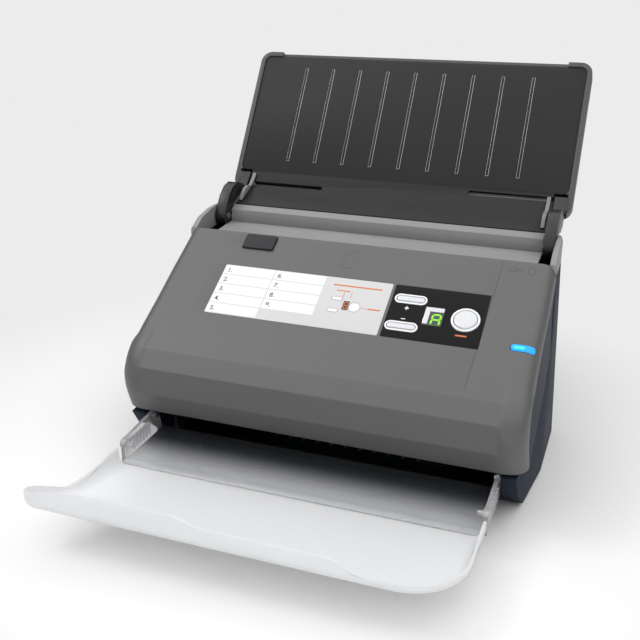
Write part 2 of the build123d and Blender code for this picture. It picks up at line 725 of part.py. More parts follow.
with BuildPart() as idler_pins:
    for axis in (idler_axis, small_axis):
        rod(axis, gear_outer - 0.6, -frame_half, stub_radius)
        rod(axis, gear_outer - 1.2, gear_outer - 0.4, stub_radius + 1.0)
        rod(axis, gear_inner + 0.4, -frame_half, stub_radius + 1.2)
save(idler_pins, "idler_pins")

motor_side = 35.0
motor_length = 34.0
with BuildPart() as drive_motor:
    with BuildSketch(Plane.YZ.offset(-web_inner)):
        with Locations(motor_axis):
            RectangleRounded(motor_side, motor_side, 4)
    extrude(amount=motor_length)
    rod(motor_axis, -frame_half + 0.4, -web_inner, 6.8)
save(drive_motor, "drive_motor")

with BuildPart() as motor_pinion:
    rod(motor_axis, -frame_half + 0.2, gear_outer, 2.0)
    toothed_disc(motor_axis, pinion_radius, 0, gear_outer, gear_inner)
save(motor_pinion, "motor_pinion")

# Flag that tells that paper lies in the throat
with BuildPart() as paper_flag:
    rod(flag_axis, flag_x - 6.4, flag_x + 6.4, 1.5)
    slab([on_path(14, -9), on_path(18, -9), on_path(15.5, 7), on_path(12.5, 7)], flag_x - 1.5,
         flag_x + 1.5)
save(paper_flag, "paper_flag")

# Boards and sockets at the rear
with BuildPart() as main_board:
    with BuildSketch(Plane.XZ.offset(-(board_rear - board_thickness))):
        with Locations((0, 66)):
            Rectangle(200, 112)
    extrude(amount=-board_thickness)
    for x, z, wide, high, deep in ((-40, 70, 24, 24, 2.5), (10, 80, 14, 10, 2), (50, 90, 16, 30, 8),
                                   (-75, 60, 12, 12, 10)):
        with BuildSketch(Plane.XZ.offset(-(board_rear - board_thickness))):
            with Locations((x, z)):
                Rectangle(wide, high)
        extrude(amount=deep)
save(main_board, "main_board")

for socket_name, place in (("power_jack", jack_place), ("usb_port", usb_place)):
    with BuildPart() as socket:
        rear_block(place, board_rear, rear_y - 0.3, 0.0)
        rear_block((place[0], place[1], place[2] - 4, place[3] - 4), rear_y - 8, rear_y, 0.0,
                   Mode.SUBTRACT)
    save(socket, socket_name)

rocker_axis = (rear_y - 4.0, switch_place[1])
with BuildPart() as switch_body:
    rear_block(switch_place, board_rear, rear_y - 0.3, 0.0)
    rear_block((switch_place[0], switch_place[1], switch_place[2] - 3, switch_place[3] - 3),
               board_rear + 2, rear_y, 0.0, Mode.SUBTRACT)
    rod(rocker_axis, switch_place[0] - 9.3, switch_place[0] + 9.3, 1.0, Mode.SUBTRACT)
save(switch_body, "switch_body")

with BuildPart() as power_switch:
    rod(rocker_axis, switch_place[0] - 9.2, switch_place[0] + 9.2, 0.95)
    slab([(rocker_axis[0] - 3, rocker_axis[1]), (rocker_axis[0] + 3.0, rocker_axis[1] - 4.6),
          (rocker_axis[0] + 4.2, rocker_axis[1] - 4.6), (rocker_axis[0] + 3.4, rocker_axis[1]),
          (rocker_axis[0] + 4.2, rocker_axis[1] + 4.6), (rocker_axis[0] + 3.0, rocker_axis[1] + 4.6)],
         switch_place[0] - 7.6, switch_place[0] + 7.6)
save(power_switch, "power_switch")

# Hinge pins
with BuildPart() as cover_hinge_pins:
    side_rods(hinge, arm_wall_inner - 1.2, rib_outer + 0.8, hinge_pin_radius)
    side_rods(hinge, arm_wall_inner - 1.2, arm_wall_inner, hinge_pin_radius + 1.2)
save(cover_hinge_pins, "cover_hinge_pins")

with BuildPart() as output_hinge_pins:
    side_rods(link_pivot, link_half - 4.4, arm_wall_outer + 1, 2.5)
save(output_hinge_pins, "output_hinge_pins")

with BuildPart() as tray_hinge_pins:
    side_rods(tray_pivot, arm_inner - 0.6, tray_pin_end, 3.0)
save(tray_hinge_pins, "tray_hinge_pins")

# Input tray: back shell with two gooseneck arms, liner with the curved chute, sliding guides
arm_shape = [on_tray(-7.5, 28), on_tray(-3, 32.5), on_tray(4, 34), on_tray(16, 33.5), on_tray(26, 30),
             on_tray(33, 23), on_tray(36, 14), on_tray(tray_foot, 4), on_tray(52, 1), on_tray(52, -9),
             on_tray(30, -6), on_tray(21, 3), on_tray(17, 13), on_tray(8, 17.4), on_tray(-3, 18),
             on_tray(-7.5, 22)]
tray_height = tray_top - tray_foot
tray_middle = (tray_top + tray_foot) / 2
back_wall = 2.5
pocket_top = tray_top - 4.0
liner_bottom = 55.0
chute = [on_tray(52.4, -0.2), on_tray(38, 2.6), on_tray(30, 8.6), on_tray(22, 14.4),
         on_tray(14.5, 19.6)]
fence_inner = half_width - 27.0
guide_slot_x = fence_inner - 30.0
right_slot = 49.6
left_slot = 41.0

with BuildPart() as tray_shell:
    plate_on(tray_plane, 0, tray_middle, 2 * tray_half, tray_height, tray_back, 1.0, corner=10.0)
    plate_on(tray_plane, 0, (liner_bottom - 1 + pocket_top) / 2, 2 * tray_seam,
             pocket_top - liner_bottom + 1, tray_back + back_wall, 2.0, Mode.SUBTRACT, corner=6.0)
    plate_on(tray_plane, 0, tray_foot, 2 * tray_seam, 2 * (liner_bottom - tray_foot),
             tray_back + back_wall, 2.0, Mode.SUBTRACT)
    plate_on(tray_plane, 0, tray_top, 2 * tray_half - 41.0, 8.0, -3.0, 2.0, Mode.SUBTRACT)
    side_slabs(arm_shape, arm_inner, arm_outer)
    side_slabs([on_tray(40, -10), on_tray(52, -10), on_tray(52, 1), on_tray(40, 3.4)],
               arm_outer - 1, tray_seam + 1)
    side_rods(tray_pivot, arm_inner, arm_outer, 8.0)
    side_rods(tray_pivot, arm_inner - 1, arm_outer + 1, 3.0 + running, Mode.SUBTRACT)
save(tray_shell, "tray_shell")

with BuildPart() as tray_liner:
    plate_on(tray_plane, 0, (liner_bottom + pocket_top - seat) / 2, 2 * (tray_seam - seat),
             pocket_top - seat - liner_bottom, -2.4, 0.0, corner=5.8)
    plate_on(tray_plane, 0, (liner_bottom + pocket_top - seat) / 2, 2 * (tray_seam - seat) - 30,
             pocket_top - seat - liner_bottom - 30, tray_back + back_wall, -2.4)
    plate_on(tray_plane, 0, (liner_bottom + pocket_top - seat) / 2, 2 * (tray_seam - seat) - 34,
             pocket_top - seat - liner_bottom - 34, tray_back + back_wall - 1, -2.4, Mode.SUBTRACT)
    slab(band(chute, 1.8), -frame_half, frame_half)
    slab([on_tray(52.2, -0.2), on_tray(52.2, -2.2), on_tray(56, -2.4), on_tray(56, 0)], -frame_half,
         frame_half)
    plate_on(tray_plane, guide_slot_x, right_slot, 72.0, 4.4, -6, 6, Mode.SUBTRACT)
    plate_on(tray_plane, -guide_slot_x, left_slot, 72.0, 4.4, -6, 8, Mode.SUBTRACT)
save(tray_liner, "tray_liner")


def paper_guide(name, side, slot_place, rack_place):
    """A side fence on the chute, a neck through its slot and a rack behind."""
    fence = [on_tray(51.0, 0.5), on_tray(46.5, 1.3), on_tray(38.3, 4.0), on_tray(30.3, 9.9),
             on_tray(22.4, 15.3), on_tray(18.5, 18.4), on_tray(24, 18.2), on_tray(30, 16.5),
             on_tray(35, 11.5), on_tray(37, 6.5), on_tray(46.5, 2.6), on_tray(51.0, 2.2)]
    low = min(side * fence_inner, side * (fence_inner + 3.0))
    with BuildPart() as guide:
        slab(fence, low, low + 3.0)
        neck_top = 4.0 if side < 0 else 2.0
        plate_on(tray_plane, side * (fence_inner + 1.5), slot_place, 3.0, 2.6, -6.6, neck_top)
        rack_end = side * (fence_inner + 3.0)
        rack_start = -side * 24.0
        plate_on(tray_plane, (rack_end + rack_start) / 2, rack_place, abs(rack_end - rack_start),
                 3.0, -6.6, -4.0)
        with BuildSketch(tray_plane.offset(-6.6)):
            with Locations(((rack_end + rack_start) / 2, rack_place)):
                with GridLocations(2.2, 0, 68, 1):
                    Rectangle(1.1, 4.0)
        extrude(amount=2.6)
    save(guide, name)


pinion_place = (right_slot + left_slot) / 2
paper_guide("right_paper_guide", 1, right_slot, right_slot + 0.4)
paper_guide("left_paper_guide", -1, left_slot, left_slot - 0.4)

with BuildPart() as guide_pinion:
    disc_on(tray_plane, 0, pinion_place, 2.2, tray_back + back_wall, -3.6)
    with BuildSketch(tray_plane.offset(-6.6)):
        with Locations((0, pinion_place)):
            with PolarLocations(1.9, 8):
                Rectangle(1.0, 0.8)
    extrude(amount=2.6)
save(guide_pinion, "guide_pinion")

# Output tray: a clear link on the base's arms, and a clear panel hinged to it
link_arm = [(link_front, tray_floor - clear_wall), (link_rear, tray_floor - clear_wall),
            (link_rear - 1.5, tray_floor + 2), (link_pivot[0] + 4.4, link_pivot[1] - 1),
            (link_pivot[0], link_pivot[1] + 4.4), (link_front - 1, knuckle[1] + 3.0),
            (link_front - 1, tray_floor - clear_wall)]
ear_thickness = 3.0
panel_ear_inner = link_half - 2 * ear_thickness - 1.0
knuckle_pin_radius = 1.8

with BuildPart() as output_link:
    slab([(link_front, tray_floor - clear_wall), (link_rear, tray_floor - clear_wall),
          (link_rear, tray_floor), (link_front, tray_floor)], -link_half, link_half)
    side_slabs(link_arm, link_half - ear_thickness, link_half)
    side_rods(link_pivot, link_half - ear_thickness, link_half, 4.4)
    side_rods(knuckle, link_half - ear_thickness, link_half, 4.0)
    side_rods(link_pivot, link_half - 5, link_half + 1, 2.5 + running, Mode.SUBTRACT)
    side_rods(knuckle, link_half - 5, link_half + 1, knuckle_pin_radius, Mode.SUBTRACT)
save(output_link, "output_link")

with BuildPart() as knuckle_pins:
    side_rods(knuckle, panel_ear_inner - 0.6, link_half, knuckle_pin_radius)
save(knuckle_pins, "knuckle_pins")


def panel_plan(inset, low, high, mode=Mode.ADD):
    """Plan of the panel: square at the hinge, a wing at the left front, round at the right."""
    side = panel_half - inset
    tip = panel_half + wing_reach - inset
    far = panel_front + inset
    corner = panel_corner - inset
    with BuildSketch(Plane.XY.offset(low)) as profile:
        with BuildLine():
            Polyline((-side, wing_start), (-side, panel_rear), (side, panel_rear), (side, far + corner))
            RadiusArc((side, far + corner), (side - corner, far), corner)
            Line((side - corner, far), (-tip + 7.0, far))
            ThreePointArc((-tip + 7.0, far), (-tip + 1.6, far + 1.8), (-tip, far + 7.0))
            Spline((-tip, far + 7.0), (-side - 4.0, wing_start - 17.0), (-side, wing_start),
                   tangents=((0.35, 0.94), (0, 1)))
        make_face()
    extrude(profile.sketch, amount=high - low, mode=mode)


def panel_top(y):
    """Height of the panel's face, rising gently to the front."""
    return tray_floor + (panel_rear - y) / (panel_rear - panel_front) * (panel_front_z - tray_floor)


lip_outline = [(-panel_half - wing_reach - 1, 20.0), (-panel_half - wing_reach - 1, 42.5),
               (-panel_half - 8.0, 45.8), (-112.0, lip_high), (-41.0, lip_high), (-24.0, lip_middle),
               (59.0, lip_middle), (70.0, 42.0), (82.0, 34.0), (93.0, 30.6), (panel_half + 1, 30.6),
               (panel_half + 1, 20.0)]
flange_end = -178.0

with BuildPart() as lip_ring:
    panel_plan(0.0, 20.0, 60.0)
    panel_plan(clear_wall, 19.0, 61.0, Mode.SUBTRACT)
    with BuildSketch(Plane.XZ.offset(-flange_end)):
        with BuildLine():
            Polyline(*lip_outline, close=True)
        make_face()
    extrude(amount=60, mode=Mode.INTERSECT)
    slab([(flange_end + 1, 15.0), (flange_end + 1, 31.0), (flange_end - 26.0, lip_high + 1),
          (panel_front - 1, lip_high + 1), (panel_front - 1, 15.0)], -half_width, half_width,
         Mode.INTERSECT)

with BuildPart() as output_panel:
    slab([(panel_rear, tray_floor), (panel_rear, tray_floor - clear_wall),
          (panel_front - 1, panel_top(panel_front - 1) - clear_wall),
          (panel_front - 1, panel_top(panel_front - 1))], -half_width, half_width)
    panel_plan(0.0, 10.0, 60.0, Mode.INTERSECT)
    side_slabs([(panel_rear, tray_floor - clear_wall), (panel_rear, knuckle[1] + 1.6),
                (flange_end, panel_front_z + 1.0), (flange_end, panel_top(flange_end) - clear_wall)],
               panel_half - 2.2, panel_half)
    ear_top = (panel_rear - 18.0, knuckle[1] - 2.0)
    side_slabs([(knuckle[0], knuckle[1] + 4.0), (knuckle[0] - 4.0, knuckle[1] - 2.6),
                (panel_rear, tray_floor - clear_wall), (ear_top[0], panel_top(ear_top[0]) - clear_wall),
                ear_top], panel_ear_inner, panel_ear_inner + ear_thickness)
    side_rods(knuckle, panel_ear_inner, panel_ear_inner + ear_thickness, 4.0)
    side_rods(knuckle, panel_ear_inner - 1, panel_ear_inner + ear_thickness + 1,
              knuckle_pin_radius + running, Mode.SUBTRACT)
    add(lip_ring.part)
save(output_panel, "output_panel")
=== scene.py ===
import json
import math

import bmesh
import bpy
from bpy.props import FloatProperty, FloatVectorProperty, PointerProperty
from mathutils import Euler, Matrix, Vector


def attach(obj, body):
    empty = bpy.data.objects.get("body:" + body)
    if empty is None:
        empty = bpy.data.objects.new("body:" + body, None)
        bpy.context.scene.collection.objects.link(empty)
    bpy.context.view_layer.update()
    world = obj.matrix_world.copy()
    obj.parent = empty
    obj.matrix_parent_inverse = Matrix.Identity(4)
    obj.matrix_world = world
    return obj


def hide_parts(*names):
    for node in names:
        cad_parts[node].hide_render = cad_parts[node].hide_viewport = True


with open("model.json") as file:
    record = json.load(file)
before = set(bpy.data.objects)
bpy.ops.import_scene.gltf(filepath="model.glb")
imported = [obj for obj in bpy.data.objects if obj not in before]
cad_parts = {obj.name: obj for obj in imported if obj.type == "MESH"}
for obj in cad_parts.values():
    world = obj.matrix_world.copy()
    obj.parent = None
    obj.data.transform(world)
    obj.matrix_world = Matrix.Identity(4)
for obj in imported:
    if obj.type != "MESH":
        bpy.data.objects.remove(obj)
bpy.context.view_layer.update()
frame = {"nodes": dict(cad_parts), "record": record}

bl_info = {
    "name": "Desktop Document Scanner",
    "version": (1, 0, 0),
    "blender": (4, 5, 0),
    "location": "View3D > Sidebar > Scanner",
    "description": "Dresses a sheet-fed scanner: cover, controls, trays, works and stage",
    "category": "Object",
}

# Lengths are written in millimetres and become metres as a mesh is made.
MM = 0.001
HALF_WIDTH = 158.0
SLOPE_TOP = (37.2, 158.5)
SLOPE_ANGLE = 30.03
SLOPE_LENGTH = 127.9
TRAY_PIVOT = (80.0, 158.0)
TRAY_ANGLE = 55.4
TRAY_DROP = 25.2


def sloped_frame(y, z, degrees):
    """Frame whose X is the object's X, whose Y runs up a slope and whose Z leaves it."""
    turn = math.radians(degrees)
    return Matrix(((1, 0, 0, 0),
                   (0, math.cos(turn), -math.sin(turn), y * MM),
                   (0, math.sin(turn), math.cos(turn), z * MM),
                   (0, 0, 0, 1)))


tray_sin = math.sin(math.radians(TRAY_ANGLE))
tray_cos = math.cos(math.radians(TRAY_ANGLE))
SLOPE = sloped_frame(*SLOPE_TOP, SLOPE_ANGLE)
TRAY = sloped_frame(TRAY_PIVOT[0] + TRAY_DROP * tray_sin, TRAY_PIVOT[1] - TRAY_DROP * tray_cos,
                    TRAY_ANGLE)
UPRIGHT = Matrix.Identity(4)


def on_slope(down, out=0.0):
    """Side point (Y, Z) a distance down the cover's slope and out of it."""
    point = SLOPE @ Vector((0, -down * MM, out * MM))
    return (point.y / MM, point.z / MM)


def lean(y, z):
    """How far the body's sides lean in at a place: more upwards and towards the rear."""
    return min(0.04 * z, 4.8) + 0.02 * max(y, 0.0) * min(z / 100.0, 1.0)


def lean_in(piece, start=147.0):
    """Draws a body piece's outer parts in along its leaning sides."""
    for vertex in piece.data.vertices:
        x, y, z = (v / MM for v in vertex.co)
        over = abs(x) - start
        if over > 0 and z > 0:
            reach = HALF_WIDTH - start
            vertex.co.x = math.copysign(start + over * (reach - lean(y, z)) / reach, x) * MM
    return piece


def ease(value, low, high):
    """Smooth step from 0 at low to 1 at high."""
    share = min(max((value - low) / (high - low), 0.0), 1.0)
    return share * share * (3 - 2 * share)


# Meshes

def new_piece(name, mesh):
    piece = bpy.data.objects.new(name, mesh)
    bpy.context.scene.collection.objects.link(piece)
    return piece


def piece_from(name, points, faces, frame_of=UPRIGHT):
    mesh = bpy.data.meshes.new(name)
    mesh.from_pydata([Vector(p) * MM for p in points], [], faces)
    mesh.transform(frame_of)
    return new_piece(name, mesh)


def strips(rows, wrap=False):
    """Quads between rows of points that are listed one row after another."""
    count = len(rows[0])
    faces = []
    for r in range(len(rows) - 1):
        for c in range(count if wrap else count - 1):
            n = (c + 1) % count
            faces.append((r * count + c, r * count + n, (r + 1) * count + n, (r + 1) * count + c))
    return faces


def grid_piece(name, rows, wrap=False):
    """Quads through rows of points: each row runs along X, and the rows go down and forward."""
    faces = [(a, d, c, b) for a, b, c, d in strips(rows, wrap)]
    return piece_from(name, [p for row in rows for p in row], faces)


def edit(piece, work):
    """Runs work on the piece's bmesh and writes it back."""
    form = bmesh.new()
    form.from_mesh(piece.data)
    work(form)
    form.to_mesh(piece.data)
    form.free()
    piece.data.update()
    return piece


def close_up(piece, distance=0.002):
    """Merges doubles and turns every face outwards."""
    def work(form):
        bmesh.ops.remove_doubles(form, verts=form.verts, dist=distance * MM)
        bmesh.ops.recalc_face_normals(form, faces=form.faces)
    return edit(piece, work)


def apply_modifiers(piece):
    graph = bpy.context.evaluated_depsgraph_get()
    mesh = bpy.data.meshes.new_from_object(piece.evaluated_get(graph))
    piece.modifiers.clear()
    piece.data = mesh
    return piece


def round_edges(piece, width, segments=2, angle=38.0):
    bevel = piece.modifiers.new("rounding", "BEVEL")
    bevel.width = width * MM
    bevel.segments = segments
    bevel.limit_method = "ANGLE"
    bevel.angle_limit = math.radians(angle)
    bevel.miter_outer = "MITER_ARC"
    return apply_modifiers(piece)


def thicken(piece, thickness):
    wall = piece.modifiers.new("wall", "SOLIDIFY")
    wall.thickness = thickness * MM
    wall.offset = -1.0
    wall.use_even_offset = True
    return apply_modifiers(piece)


def cut(piece, cutter):
    hole = piece.modifiers.new("hole", "BOOLEAN")
    hole.operation = "DIFFERENCE"
    hole.solver = "EXACT"
    hole.object = cutter
    apply_modifiers(piece)
    bpy.data.objects.remove(cutter)
    return piece


def smooth(piece, angle=32.0):
    for face in piece.data.polygons:
        face.use_smooth = True
    piece.data.set_sharp_from_angle(angle=math.radians(angle))
    return piece


def joined(name, parts):
    """One piece from several, with the first one's materials."""
    form = bmesh.new()
    mesh = bpy.data.meshes.new(name)
    for material in parts[0].data.materials:
        mesh.materials.append(material)
    for part in parts:
        form.from_mesh(part.data)
        bpy.data.objects.remove(part)
    form.to_mesh(mesh)
    form.free()
    return new_piece(name, mesh)


def rounded(x, y, width, height, radius, steps=5):
    """Outline of a rounded rectangle about (x, y)."""
    points = []
    for turn, sx, sy in ((0, 1, 1), (90, -1, 1), (180, -1, -1), (270, 1, -1)):
        cx = x + sx * (width / 2 - radius)
        cy = y + sy * (height / 2 - radius)
        for k in range(steps + 1):
            a = math.radians(turn + 90 * k / steps)
            points.append((cx + radius * math.cos(a), cy + radius * math.sin(a)))
    return points


def solid(name, outline, low, high, frame_of, rim=0.0, segments=2):
    """Prism on an outline, with the rim of its upper face rounded."""
    count = len(outline)
    points = [(x, y, low) for x, y in outline] + [(x, y, high) for x, y in outline]
    faces = [tuple(reversed(range(count))), tuple(range(count, 2 * count))]
    faces += [(i, (i + 1) % count, count + (i + 1) % count, count + i) for i in range(count)]
    piece = piece_from(name, points, faces)
    if rim > 0:
        def work(form):
            top = [e for e in form.edges if all(abs(v.co.z - high * MM) < 1e-7 for v in e.verts)]
            bmesh.ops.bevel(form, geom=top, offset=rim * MM, segments=segments, profile=0.5,
                            affect="EDGES", clamp_overlap=True)
        edit(piece, work)
    piece.data.transform(frame_of)
    return close_up(piece, 0.001)


def punch(piece, outline, low, high, frame_of=SLOPE):
    """Cuts a prism out of a piece."""
    return cut(piece, solid("cutter", outline, low, high, frame_of))


def turned(name, profile, frame_of, steps=48):
    """A turned form from (radius, height) points about the frame's Z."""
    turns = [math.tau * k / steps for k in range(steps)]
    rows = [[(radius * math.cos(t), radius * math.sin(t), height) for t in turns]
            for radius, height in profile]
    piece = grid_piece(name, rows, wrap=True)
    piece.data.transform(frame_of)
    return close_up(piece)


def shifted(frame_of, x, y, z=0.0):
    return frame_of @ Matrix.Translation(Vector((x, y, z)) * MM)


def curve_through(points, steps=8):
    """Smooth line through (Y, Z) points."""
    line = []
    for i in range(len(points) - 1):
        p0 = Vector(points[max(i - 1, 0)])
        p1 = Vector(points[i])
        p2 = Vector(points[i + 1])
        p3 = Vector(points[min(i + 2, len(points) - 1)])
        for k in range(steps):
            t = k / steps
            square = 2 * p0 - 5 * p1 + 4 * p2 - p3
            cube = 3 * p1 - p0 - 3 * p2 + p3
            line.append(0.5 * (2 * p1 + (p2 - p0) * t + square * t * t + cube * t ** 3))
    line.append(Vector(points[-1]))
    return line


def lengths(line):
    total = [0.0]
    for a, b in zip(line, line[1:]):
        total.append(total[-1] + (Vector(b) - Vector(a)).length)
    return total


def point_at(line, share):
    run = lengths(line)
    goal = share * run[-1]
    for i in range(len(run) - 1):
        if run[i + 1] >= goal:
            f = (goal - run[i]) / max(run[i + 1] - run[i], 1e-9)
            return Vector(line[i]).lerp(Vector(line[i + 1]), f)
    return Vector(line[-1])


def moulded_copy(node, width, name=None, angle=40):
    """Copy of a CAD node with its facets merged and its edges rounded."""
    piece = new_piece(name or node + "_moulding", frame["nodes"][node].data.copy())
    piece.data.materials.clear()

    def work(form):
        bmesh.ops.remove_doubles(form, verts=form.verts, dist=0.004 * MM)
        bmesh.ops.dissolve_limit(form, angle_limit=math.radians(0.6), verts=form.verts,
                                 edges=form.edges)
    edit(piece, work)
    if width > 0:
        round_edges(piece, width, 2, angle)
    return smooth(piece)


def hand_over(piece, body, material=None, replaces=()):
    """Gives a finished piece its material and its body, and hides the CAD parts it replaces."""
    if material is not None:
        piece.data.materials.clear()
        piece.data.materials.append(material)
    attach(piece, body)
    if replaces:
        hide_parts(*replaces)
    return piece


# Repeated forms come from one node tree: bars on a grid

def connect(tree, *links):
    """Each link is a node, its output, the next node and its input."""
    for source, out, target, into in links:
        tree.links.new(source.outputs[out], target.inputs[into])


def add_sockets(tree, *sockets):
    """Each socket is its side, name, kind and, where it has one, its default."""
    for side, label, kind, *default in sockets:
        socket = tree.interface.new_socket(label, in_out=side, socket_type="NodeSocket" + kind)
        for value in default:
            socket.default_value = value


def bar_grid_tree():
    if "bar grid" in bpy.data.node_groups:
        return bpy.data.node_groups["bar grid"]
    tree = bpy.data.node_groups.new("bar grid", "GeometryNodeTree")
    add_sockets(tree, ("OUTPUT", "Geometry", "Geometry"), ("INPUT", "Bars across", "Int"),
                ("INPUT", "Bars along", "Int"), ("INPUT", "Spread across", "Float"),
                ("INPUT", "Spread along", "Float"), ("INPUT", "Bar size", "Vector"),
                ("INPUT", "Finish", "Material"))
    given, result, spots, bar, place, real, finish = (tree.nodes.new(kind) for kind in (
        "NodeGroupInput", "NodeGroupOutput", "GeometryNodeMeshGrid", "GeometryNodeMeshCube",
        "GeometryNodeInstanceOnPoints", "GeometryNodeRealizeInstances", "GeometryNodeSetMaterial"))
    connect(tree, (given, "Bars across", spots, "Vertices X"),
            (given, "Bars along", spots, "Vertices Y"), (given, "Spread across", spots, "Size X"),
            (given, "Spread along", spots, "Size Y"),
            (given, "Bar size", bar, "Size"), (spots, "Mesh", place, "Points"),
            (bar, "Mesh", place, "Instance"), (place, "Instances", real, "Geometry"),
            (real, "Geometry", finish, "Geometry"), (given, "Finish", finish, "Material"),
            (finish, "Geometry", result, "Geometry"))
    return tree


def bar_grid(name, across, along, spread, size, material, frame_of, rim):
    """Bars on a grid with rounded edges. Sizes in mm."""
    tree = bar_grid_tree()
    piece = new_piece(name, bpy.data.meshes.new(name))
    maker = piece.modifiers.new("bars", "NODES")
    maker.node_group = tree
    keys = {item.name: item.identifier for item in tree.interface.items_tree
            if item.in_out == "INPUT"}
    for label, value in (("Bars across", across), ("Bars along", along),
                         ("Spread across", spread[0] * MM), ("Spread along", spread[1] * MM),
                         ("Bar size", tuple(v * MM for v in size)), ("Finish", material)):
        maker[keys[label]] = value
    apply_modifiers(piece)

    def work(form):
        bmesh.ops.bevel(form, geom=list(form.edges), offset=rim * MM, segments=2, profile=0.5,
                        affect="EDGES", clamp_overlap=True)
    edit(piece, work)
    piece.data.transform(frame_of)
    return smooth(piece)


# Materials

def wire(tree, kind, values=None, **settings):
    node = tree.nodes.new(kind)
    for key, value in settings.items():
        setattr(node, key, value)
    for key, value in (values or {}).items():
        node.inputs[key].default_value = value
    return node


def grain_group():
    """Shared group: fine mould grain and slow patches, from Object coordinates."""
    if "mould grain" in bpy.data.node_groups:
        return bpy.data.node_groups["mould grain"]
    tree = bpy.data.node_groups.new("mould grain", "ShaderNodeTree")
    add_sockets(tree, ("INPUT", "Grain scale", "Float", 1600.0),
                ("INPUT", "Patch scale", "Float", 14.0), ("OUTPUT", "Height", "Float"),
                ("OUTPUT", "Patches", "Float"))
    given, result, place = (tree.nodes.new(kind) for kind in (
        "NodeGroupInput", "NodeGroupOutput", "ShaderNodeTexCoord"))
    fine = wire(tree, "ShaderNodeTexNoise", {"Detail": 3.0, "Roughness": 0.6})
    cells = wire(tree, "ShaderNodeTexVoronoi", {"Randomness": 1.0})
    slow = wire(tree, "ShaderNodeTexNoise", {"Detail": 4.0, "Roughness": 0.55})
    blend = wire(tree, "ShaderNodeMath", {1: 0.5}, operation="MULTIPLY_ADD")
    for texture, scale in ((fine, "Grain scale"), (cells, "Grain scale"), (slow, "Patch scale")):
        connect(tree, (place, "Object", texture, "Vector"), (given, scale, texture, "Scale"))
    connect(tree, (cells, "Distance", blend, 0), (fine, "Fac", blend, 2),
            (blend, 0, result, "Height"), (slow, "Fac", result, "Patches"))
    return tree


def range_of(tree, source, out, low, high):
    """Map Range node from a noise, whose values keep near the middle, to low-high."""
    node = wire(tree, "ShaderNodeMapRange", {"From Min": 0.15, "From Max": 0.85, "To Min": low,
                                             "To Max": high})
    connect(tree, (source, out, node, "Value"))
    return node


def fade_of(tree, start, end):
    """Map Range node that eases from 0 at start to 1 at end."""
    return wire(tree, "ShaderNodeMapRange", {"From Min": start, "From Max": end},
                interpolation_type="SMOOTHSTEP")


def blend_of(tree, first, second):
    """Mix node between two colours."""
    return wire(tree, "ShaderNodeMix", {"A": (*first, 1), "B": (*second, 1)}, data_type="RGBA")


def finish_of(name, colour, roughness, grain=0.00002, grain_scale=1600.0, patch_scale=14.0,
              colour_shift=0.06, roughness_shift=0.08, **fixed):
    """A moulded, painted or turned finish: grain in the bump, patches in colour and roughness."""
    if name in bpy.data.materials:
        return bpy.data.materials[name]
    material = bpy.data.materials.new(name)
    material.use_nodes = True
    tree = material.node_tree
    shader = tree.nodes["Principled BSDF"]
    group = wire(tree, "ShaderNodeGroup", {"Grain scale": grain_scale, "Patch scale": patch_scale},
                 node_tree=grain_group())
    tint = blend_of(tree, [c * (1 - colour_shift) for c in colour],
                    [min(c * (1 + colour_shift), 1) for c in colour])
    share = range_of(tree, group, "Patches", 0, 1)
    rough = range_of(tree, group, "Patches", max(roughness - roughness_shift, 0.02),
                     min(roughness + roughness_shift, 1.0))
    bump = wire(tree, "ShaderNodeBump", {"Strength": 1.0, "Distance": grain})
    connect(tree, (share, "Result", tint, "Factor"), (tint, "Result", shader, "Base Color"),
            (rough, "Result", shader, "Roughness"), (group, "Height", bump, "Height"),
            (bump, "Normal", shader, "Normal"))
    for key, value in fixed.items():
        shader.inputs[key.replace("_", " ").title().replace("Ior", "IOR")].default_value = value
    material.diffuse_color = (*colour, 1)
    return material


def opened(material):
    """A finish's node tree, its shader and a Texture Coordinate node of its own."""
    tree = material.node_tree
    return tree, tree.nodes["Principled BSDF"], tree.nodes.new("ShaderNodeTexCoord")


def lit(name, colour, strength):
    """A lit lens or segment, with the light a little uneven."""
    if name in bpy.data.materials:
        return bpy.data.materials[name]
    material = finish_of(name, [c * 0.5 for c in colour], 0.3, grain=0.000004)
    tree, shader, place = opened(material)
    noise = wire(tree, "ShaderNodeTexNoise", {"Scale": 120.0, "Detail": 1.0})
    tint = blend_of(tree, [c * 0.7 for c in colour], colour)
    connect(tree, (place, "Object", noise, "Vector"), (noise, "Fac", tint, "Factor"),
            (tint, "Result", shader, "Emission Color"))
    shader.inputs["Emission Strength"].default_value = strength
    return material


def brushed(name, colour, roughness):
    """Metal with fine lines along X."""
    if name in bpy.data.materials:
        return bpy.data.materials[name]
    material = finish_of(name, colour, roughness, grain=0.000003, Metallic=1.0)
    tree, shader, place = opened(material)
    turn = wire(tree, "ShaderNodeMapping", {"Scale": (1.0, 40.0, 40.0)})
    lines = wire(tree, "ShaderNodeTexNoise", {"Scale": 60.0, "Detail": 2.0})
    rough = range_of(tree, lines, "Fac", roughness * 0.7, roughness * 1.4)
    connect(tree, (place, "Object", turn, "Vector"), (turn, "Vector", lines, "Vector"),
            (rough, "Result", shader, "Roughness"))
    return material


